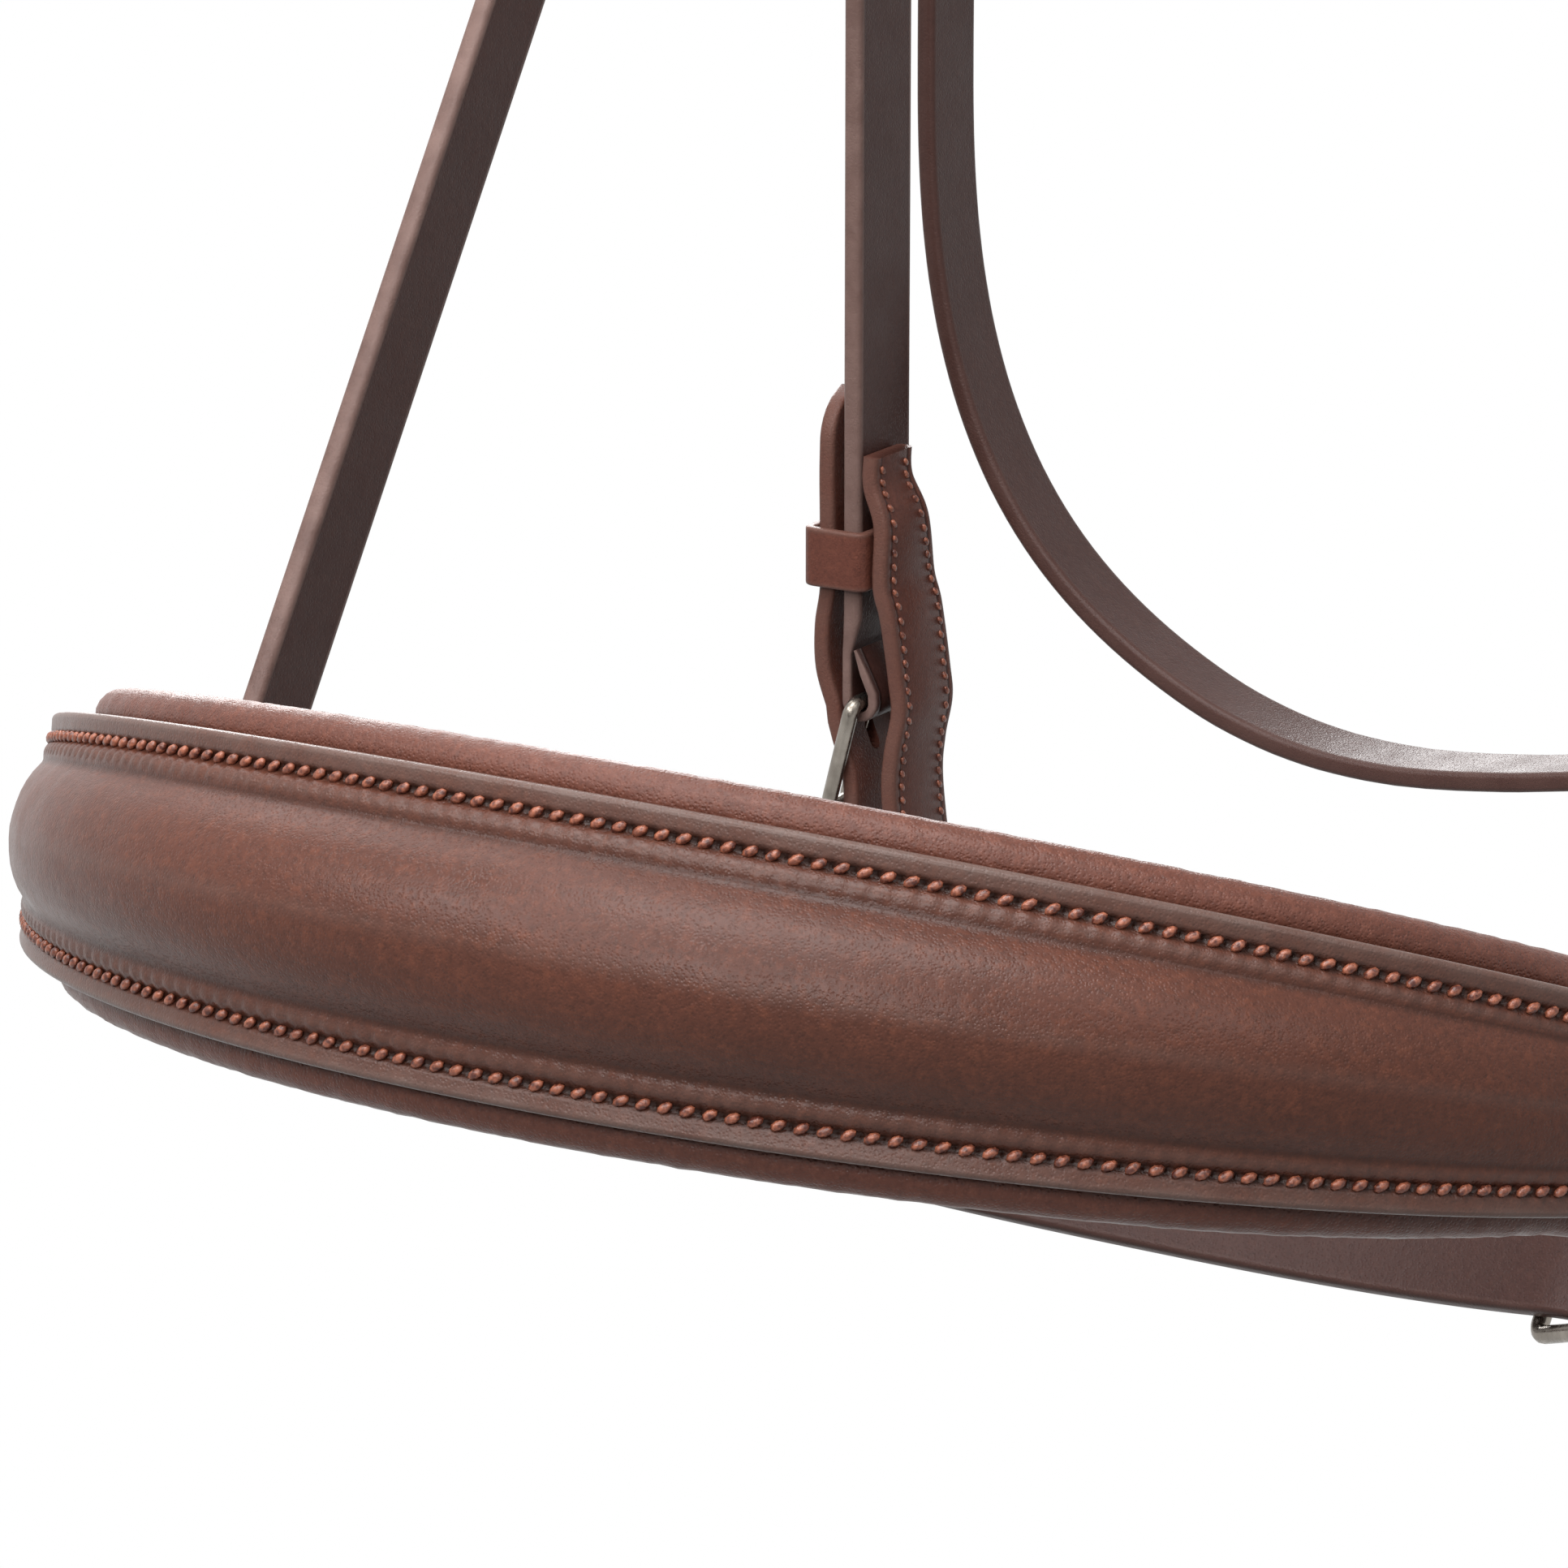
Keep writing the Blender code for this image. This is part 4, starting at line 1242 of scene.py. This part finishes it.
def makeThroatlash():
    layer = cheekSizes["layer"]
    power = 2 / throatSizes["roundness"]
    top = fit["hingeDrop"] - fit["pointTop"]
    points = [Vector((layer, throatSizes["y"], 0))]
    for step in range(throatSizes["steps"] + 1):
        angle = pi / 2 - pi * step / throatSizes["steps"]
        across = abs(sin(angle)) ** power * layer * (1 if angle >= 0 else -1)
        drop = throatSizes["levelDrop"] + throatSizes["depth"] * abs(cos(angle)) ** power
        points.append(Vector((across, throatSizes["y"], liftAt(across) - drop)))
    points.append(Vector((-layer, throatSizes["y"], -top)))
    outwards = [Vector((-along.z, 0, along.x)) for along in directionsAlong(points)]
    outwards[0], outwards[-1] = Vector((1, 0, 0)), Vector((-1, 0, 0))
    track = makeTrack(points, outwards)
    bar, width = throatSizes["buckleDrop"], throatSizes["width"]
    route = [(track["lengths"][-1], 0, fit["strap"])] + foldRoute(bar)
    strapPiece("throatStrap", track, route, width, shadedEdgeLeather, "throatlash", ["throatlash"],
               cuts=[foldSlot(bar)])
    route = [(top, 0, fit["billet"])] + riseRoute(bar)
    strapPiece("throatPoint", track, route, width, shadedEdgeLeather, "throatlash", ["throat_point_left"],
               endTip=1, cuts=billetHoles(bar))
    bucklePieces("throat_left", track, bar, width, "throatlash")
    keeperPiece("throatKeeper", track, bar + fit["keeperPlace"], width, "throatlash", "throat_keeper_left")


makeThroatlash()
print("throatlash built")


# noseband

def noseLean():
    return Vector((0, cos(noseSizes["tilt"]), -sin(noseSizes["tilt"])))


# the middle between the two ends, where the noseband is widest
def noseCentre():
    return Vector((0, -noseSizes["forward"], -noseSizes["drop"])) + noseLean() * noseSizes["depth"]


def noseTrack():
    width, depth = noseSizes["halfWidth"], noseSizes["depth"]
    lean, centre = noseLean(), noseCentre()
    past = noseSizes["overlap"] / width
    points, outwards = [], []
    for step in range(noseSizes["steps"] + 1):
        angle = -pi / 2 - past + (pi + 2 * past) * step / noseSizes["steps"]
        points.append(centre + Vector((width * sin(angle), 0, 0)) - lean * depth * cos(angle))
        outwards.append((Vector((sin(angle) / width, 0, 0)) - lean * cos(angle) / depth).normalized())
    return makeTrack(points, outwards)


# how far a place is from the middle of the front (0) to its plain sides (1)
def noseShare(track, distance):
    middle = track["lengths"][-1] / 2
    return min(1, abs(distance - middle) / (middle - noseSizes["overlap"]) / noseSizes["taperShare"])


def noseHeight(share):
    return noseSizes["frontHeight"] + (noseSizes["sideHeight"] - noseSizes["frontHeight"]) * share ** 2


# distance from the edge, height, how much painted shade darkens the groove and how much edge colour of
# burnish and painted sheen, all in millimetres or shares
bandOutline = (
    (0.75, 0.0, 0.0, 0.9), (1.3, -0.06, 0.0, 0.55), (1.9, -0.1, 0.1, 0.5), (2.3, -0.16, 0.25, 0.3),
    (2.65, -0.34, 0.75, 0.0), (3.1, -0.52, 1.0, 0.0), (3.55, -0.3, 0.7, 0.0), (4.0, 0.3, 0.1, 0.0),
    (4.6, 0.78, 0.0, 0.3), (5.2, 0.95, 0.0, 0.4), (5.9, 0.84, 0.1, 0.1), (6.5, 0.72, 0.55, 0.0),
    (7.0, 0.95, 0.45, 0.0), (7.6, 1.6, 0.05, 0.0), (8.8, 2.9, 0.0, 0.0), (10.4, 4.15, 0.0, 0.0),
    (12.2, 5.15, 0.0, 0.0), (14.2, 5.85, 0.0, 0.0), (16.2, 6.3, 0.0, 0.0),
)
# in millimetres, but for the edge, whose radius is a share of the leather's thickness
bandShape = {
    "flange": 4,
    "crownReach": 14,
    "edgePull": 0.5,
    "crownPull": 0.34,
    "edgeRadius": 0.24,
    "edgeSteps": 4,
}


# the front's corners, from its back up round one edge, over the crown and down the other
# between two stitches the thread goes down: pucker is 1 there, and both sides of the row sink
def bandProfile(width, rise, pucker):
    half, deep, flange = width / 2, noseSizes["leather"], bandShape["flange"]
    stretch = min(1, width / noseSizes["frontHeight"])
    lift = rise / noseSizes["raise"]
    radius = deep * bandShape["edgeRadius"]
    # the back face near the edge gets a little painted shade
    corners = [(half - radius * 2.4, -deep, 0.0, 0.2)]
    for first, out in ((-0.5 * pi, radius - deep), (0, -radius)):
        for part in range(bandShape["edgeSteps"] + 1):
            angle = first + 0.5 * pi * part / bandShape["edgeSteps"]
            corners.append((half - radius + radius * cos(angle), out + radius * sin(angle), 1.0, 0.0))
    for inset, height, groove, wearAndLight in bandOutline:
        place = inset
        # the pits between stitches get more painted shade
        slot = min(1, groove * (0.5 + 0.8 * pucker))
        if inset >= flange:
            place = flange + (inset - flange) * (half * 1000 - flange) / bandShape["crownReach"]
            slot = groove
        tall = height if height < 0.1 else height * lift
        tall -= bandShape["edgePull"] * pucker if 2.5 < inset < 3.7 else 0
        tall -= bandShape["crownPull"] * pucker * stretch if 3.9 < inset < 5.5 else 0
        corners.append((half - place / 1000, tall / 1000, wearAndLight, slot))
    left = [(-side, out, wearAndLight, groove) for side, out, wearAndLight, groove in reversed(corners)]
    return corners + [(0, rise, 0.25, 0.0)] + left


def makeNoseband(track):
    length = track["lengths"][-1]
    count = int(length / noseSizes["ringStep"])
    sweep = newSweep()
    ends = noseSizes["overlap"] * 0.5
    for step in range(count + 1):
        distance = length * step / count
        point, along, across, outward = trackFrame(track, distance)
        share = noseShare(track, distance)
        width = noseHeight(share)
        near = min(distance, length - distance)
        if near < ends:
            rounding = (1 - (1 - near / ends) ** noseSizes["endPower"]) ** 0.5
            width *= noseSizes["endWidthShare"] + (1 - noseSizes["endWidthShare"]) * rounding
        rise = noseSizes["raise"] * (1 - share ** 2) + noseSizes["leather"] / 6
        pucker = 0.5 + 0.5 * cos(2 * pi * (distance - 0.5 * length) / stitchLook["pitch"])
        addRing(sweep, point, across, outward, bandProfile(width, rise, pucker ** 2))
    front = finishSweep("nosebandFront", sweep, False, bandLeather)
    settle(front, "noseband", ["noseband_front"])


def bandStitches(track):
    length, pitch = track["lengths"][-1], stitchLook["pitch"]
    count = int((length / 2 - noseSizes["overlap"] * 0.55) / pitch)
    spots = []
    for step in range(-count, count):
        distance = length / 2 + (step + 0.5) * pitch
        point, along, across, outward = trackFrame(track, distance)
        width = noseHeight(noseShare(track, distance))
        for side in (1, -1):
            place = point + across * side * (width / 2 - noseSizes["rowInset"])
            place = place - outward * noseSizes["rowSink"]
            wander = noseSizes["stitchWander"] * noiseAt(place * noseSizes["wanderGrain"])
            spots.append((place, (along + across * wander).normalized(), outward))
    stitchPiece("nosebandStitches", spots, "noseband", noseSizes["stitchShare"])


liningSizes = {
    "thickness": 0.0075,
    "margin": 0.0038,
    "rollRadius": 0.0031,
    "rollFront": 0.0040,
    "rollPast": 0.28,
    "rollSteps": 12,
    "rollCrinkle": 0.045,
    "rollGrain": (420, 3.1, 0.7),
    "backSteps": 6,
    "backCrinkle": 0.00012,
    "backGrain": (260, 7.3, 3),
    "flatShare": 0.55,
    "settleFrom": 0.62,
    "ringStep": 0.0012,
    "endPoints": 5,
}


# wrinkles of the lining, by the distance along it, its side and the place on its skin
def wrinkle(grainName, distance, side, place):
    scale = liningSizes[grainName]
    return noiseAt(Vector((distance * scale[0], side * scale[1], place * scale[2])))


# one half of the lining's corners: the flat behind the leather, the round roll past it, the soft back
def liningHalf(side, half, front, inside, distance):
    radius, thickness = liningSizes["rollRadius"], liningSizes["thickness"]
    past, rollSteps, backSteps = liningSizes["rollPast"], liningSizes["rollSteps"], liningSizes["backSteps"]
    # the flat behind the leather is darkened with painted shade; the roll takes a little edge colour of
    # burnish and painted light
    corners = [(side * (half - 2.1 * radius) * liningSizes["flatShare"], inside, 0.0, 0.8)]
    for part in range(rollSteps + 1):
        angle = (0.5 + past) * pi - (1 + past) * pi * part / rollSteps
        crinkle = wrinkle("rollGrain", distance, side, angle)
        size = radius * (1 + liningSizes["rollCrinkle"] * crinkle)
        place = side * (half - radius + size * cos(angle))
        corners.append((place, front - radius + size * sin(angle), 0.35, 0.0))
    base = front - 2 * radius
    for part in range(1, backSteps + 1):
        reach = part / backSteps
        bulge = thickness * 2 / 3 * (1 - (1 - reach) ** 2)
        crinkle = wrinkle("backGrain", distance, side, reach)
        deep = base + (inside - thickness / 3 - base) * reach - bulge - liningSizes["backCrinkle"] * crinkle
        corners.append((side * (half - radius) * (1 - reach), deep, 0.0, 0.0))
    return corners


def makeLining(track):
    ends = liningSizes["endPoints"]
    start, end = track["lengths"][ends], track["lengths"][-1 - ends]
    count = int((end - start) / liningSizes["ringStep"])
    sweep = newSweep()
    inside = -noseSizes["leather"] - 2 * fit["gap"] - noseSizes["sideLayer"]
    for step in range(count + 1):
        distance = start + (end - start) * step / count
        point, along, across, outward = trackFrame(track, distance)
        share = noseShare(track, distance)
        half = noseHeight(share) / 2 + liningSizes["margin"]
        settled = (share - liningSizes["settleFrom"]) / (1 - liningSizes["settleFrom"])
        settled = easeInOut(min(1, max(0, settled)))
        front = -liningSizes["rollFront"] + (inside + liningSizes["rollFront"]) * settled
        right, left = [liningHalf(side, half, front, inside, distance) for side in (1, -1)]
        addRing(sweep, point, across, outward, right + list(reversed(left[:-1])))
    lining = finishSweep("nosebandLining", sweep, False, softLining)
    settle(lining, "noseband", ["noseband_lining"])


def makeNoseCore(track):
    length, layer = track["lengths"][-1], noseSizes["sideLayer"]
    offset = -noseSizes["leather"] - fit["gap"] - layer / 2
    clear = noseSizes["overlap"] + 2 * hangerSizes["width"]
    route = [(clear, offset, layer), (length - clear, offset, layer)]
    width = noseSizes["sideHeight"] - 2 * noseSizes["leather"]
    strapPiece("nosebandCore", track, route, width, softLining, "noseband", ["noseband_core"])


bandTrack = noseTrack()
makeNoseband(bandTrack)
bandStitches(bandTrack)
makeLining(bandTrack)
makeNoseCore(bandTrack)
print("noseband built")


# chin strap

chinSizes = {
    "width": 0.0245,
    "depth": 0.068,
    "tilt": radians(38),
    "start": 0.011,
    "buckleShare": 0.765,
    "keeperEase": 0.0004,
    "roundness": 2.4,
    "steps": 84,
}


def makeChinStrap():
    halfWidth = noseSizes["halfWidth"] - noseSizes["leather"] - noseSizes["sideLayer"] / 2 - 2 * fit["gap"]
    lean = Vector((0, cos(chinSizes["tilt"]), -sin(chinSizes["tilt"])))
    centre = noseCentre()
    power, steep = 2 / chinSizes["roundness"], chinSizes["roundness"] - 1
    points, outwards = [], []
    for step in range(chinSizes["steps"] + 1):
        angle = -pi / 2 + pi * step / chinSizes["steps"]
        side = 1 if angle >= 0 else -1
        x, back = side * abs(sin(angle)) ** power, abs(cos(angle)) ** power
        points.append(centre + Vector((halfWidth * x, 0, 0)) + lean * chinSizes["depth"] * back)
        sideways = Vector((side * abs(x) ** steep / halfWidth, 0, 0))
        outwards.append((sideways + lean * back ** steep / chinSizes["depth"]).normalized())
    track = makeTrack(points, outwards)
    end, width = track["lengths"][-1], chinSizes["width"]
    bar = end * chinSizes["buckleShare"]
    route = [(chinSizes["start"], 0, fit["billet"])] + riseRoute(bar)
    strapPiece("chinBillet", track, route, width, shadedEdgeLeather, "noseband", ["chin_billet"],
               endTip=1, cuts=billetHoles(bar))
    route = [(end - chinSizes["start"], 0, fit["strap"])] + foldRoute(bar)
    strapPiece("chinStrap", track, route, width, shadedEdgeLeather, "noseband", ["chin_strap"],
               cuts=[foldSlot(bar)])
    bucklePieces("chin", track, bar, width, "noseband")
    keeperPiece("chinKeeper", track, bar + fit["keeperPlace"], width, "noseband", "chin_keeper",
                chinSizes["keeperEase"])


makeChinStrap()
print("chin strap built")


# crown and browband

crownSizes = {
    "width": 0.048,
    "leather": 0.0030,
    "padEdge": 0.0034,
    "padPoll": 0.012,
    "sideOuter": 0.108,
    "archHeight": 0.080,
    "sideBottom": 0.120,
    "steps": 96,
    "stitchInset": 0.003,
    "stitchEnds": 0.003,
    "puff": 0.0004,
    "puffGrain": (0.09, 2.0, 2),
    "backPower": 2.4,
    "padRingStep": 0.002,
    "edgeSteps": 6,
    "backSteps": 8,
}


def crownTrack():
    sideX = crownSizes["sideOuter"] - crownSizes["leather"]
    arch, top = crownSizes["archHeight"], crownSizes["padPoll"] + fit["gap"]
    points = [Vector((-sideX, 0, -crownSizes["sideBottom"])), Vector((-sideX, 0, -fit["hingeDrop"]))]
    for step in range(crownSizes["steps"] + 1):
        angle = pi - pi * step / crownSizes["steps"]
        points.append(Vector((sideX * cos(angle), 0, -arch + (arch + top) * sin(angle))))
    points += [Vector((sideX, 0, -fit["hingeDrop"])), Vector((sideX, 0, -crownSizes["sideBottom"]))]
    return makeTrack(points, [Vector((-along.z, 0, along.x)) for along in directionsAlong(points)])


# one half of the pad's corners: its round edge and its soft underside
def padHalf(side, share, step):
    rise = (crownSizes["padPoll"] - crownSizes["padEdge"]) * share ** 0.5
    radius = crownSizes["padEdge"] / 2
    half = crownSizes["width"] / 2 - crownSizes["leather"]
    corners = []
    for part in range(crownSizes["edgeSteps"] + 1):
        angle = 0.5 * pi * (1 - part / (crownSizes["edgeSteps"] / 2))
        corners.append((side * (half - radius * (1 - cos(angle))), -radius + radius * sin(angle)))
    scale = crownSizes["puffGrain"]
    for part in range(1, crownSizes["backSteps"] + 1):
        reach = part / crownSizes["backSteps"]
        bump = noiseAt(Vector((step * scale[0], side * scale[1], reach * scale[2])))
        puff = crownSizes["puff"] * share * bump
        deep = rise * (1 - (1 - reach) ** crownSizes["backPower"])
        corners.append((side * (half - radius) * (1 - reach), -2 * radius - deep - puff * reach))
    return corners


def makeCrown():
    track = crownTrack()
    length = track["lengths"][-1]
    thick, width = crownSizes["leather"], crownSizes["width"]
    route = [(0, thick / 2, thick), (length, thick / 2, thick)]
    strapPiece("crownLeather", track, route, width, strapLeather, "headpiece", ["crown_leather"])
    spots = bothRows(track, route, width, crownSizes["stitchEnds"], crownSizes["stitchEnds"],
                     crownSizes["stitchInset"], stitchLook["pitch"])
    stitchPiece("crownStitches", spots, "headpiece")

    sweep = newSweep()
    count = int(length / crownSizes["padRingStep"])
    for step in range(count + 1):
        point, along, across, outward = trackFrame(track, length * step / count)
        share = max(0, min(1, 1 + point.z / crownSizes["archHeight"]))
        right, left = [padHalf(side, share, step) for side in (1, -1)]
        loop = right + list(reversed(left[:-1]))
        addRing(sweep, point, across, outward, [(side, out - fit["gap"], 0.25, 0.0) for side, out in loop])
    pad = finishSweep("crownPad", sweep, False, softLining)
    settle(pad, "headpiece", ["crown_pad"])


browSizes = {
    "height": 0.020,
    "thickness": 0.0025,
    "forward": 0.105,
    "loopLength": 0.052,
    "clearance": 0.0008,
    "cornerShare": 0.8,
    "cornerSteps": 5,
    "bowShare": 0.86,
    "steps": 80,
    "stitchInset": 0.0026,
    "stitchEnds": 0.003,
}


def makeBrowband():
    thick, height, level = browSizes["thickness"], browSizes["height"], -fit["hingeDrop"]
    outer = crownSizes["sideOuter"] + fit["gap"] + fit["billet"] + browSizes["clearance"]
    inner = cheekSizes["layer"] - fit["strap"] / 2 - browSizes["clearance"]
    half = browSizes["loopLength"] / 2 + thick / 2
    up = Vector((0, 0, 1))
    profile = strapProfile(height, thick)
    corner, steps = thick * browSizes["cornerShare"], browSizes["cornerSteps"]
    outline = roundedBox(inner - thick / 2, outer + thick / 2, -half, half, corner, steps)
    for side, label in sides:
        sweep = newSweep()
        for index, (x, y) in enumerate(outline):
            before, after = outline[index - 1], outline[(index + 1) % len(outline)]
            run = Vector((side * (after[0] - before[0]), after[1] - before[1], 0)).normalized()
            addRing(sweep, Vector((side * x, y, level)), up, run.cross(up) * side, profile)
        loop = finishSweep("browLoop_" + label, sweep, True, strapLeather)
        settle(loop, "browband", ["browband_loop_" + label])

    sideX = outer + thick + fit["gap"] + thick / 2
    points = [Vector((-sideX, half - thick, level)), Vector((-sideX, -half, level))]
    for step in range(1, browSizes["steps"]):
        angle = pi * step / browSizes["steps"]
        x = -sideX * abs(cos(angle)) ** browSizes["bowShare"] * (1 if angle < pi / 2 else -1)
        points.append(Vector((x, -half - (browSizes["forward"] - half) * sin(angle), level)))
    points += [Vector((sideX, -half, level)), Vector((sideX, half - thick, level))]
    track = makeTrack(points, [along.cross(up) for along in directionsAlong(points)])
    route = [(0, 0, thick), (track["lengths"][-1], 0, thick)]
    strapPiece("browBow", track, route, height, strapLeather, "browband", ["browband"])
    spots = bothRows(track, route, height, browSizes["stitchEnds"], browSizes["stitchEnds"],
                     browSizes["stitchInset"], stitchLook["pitch"])
    stitchPiece("browStitches", spots, "browband")


makeCrown()
makeBrowband()
print("crown and browband built")
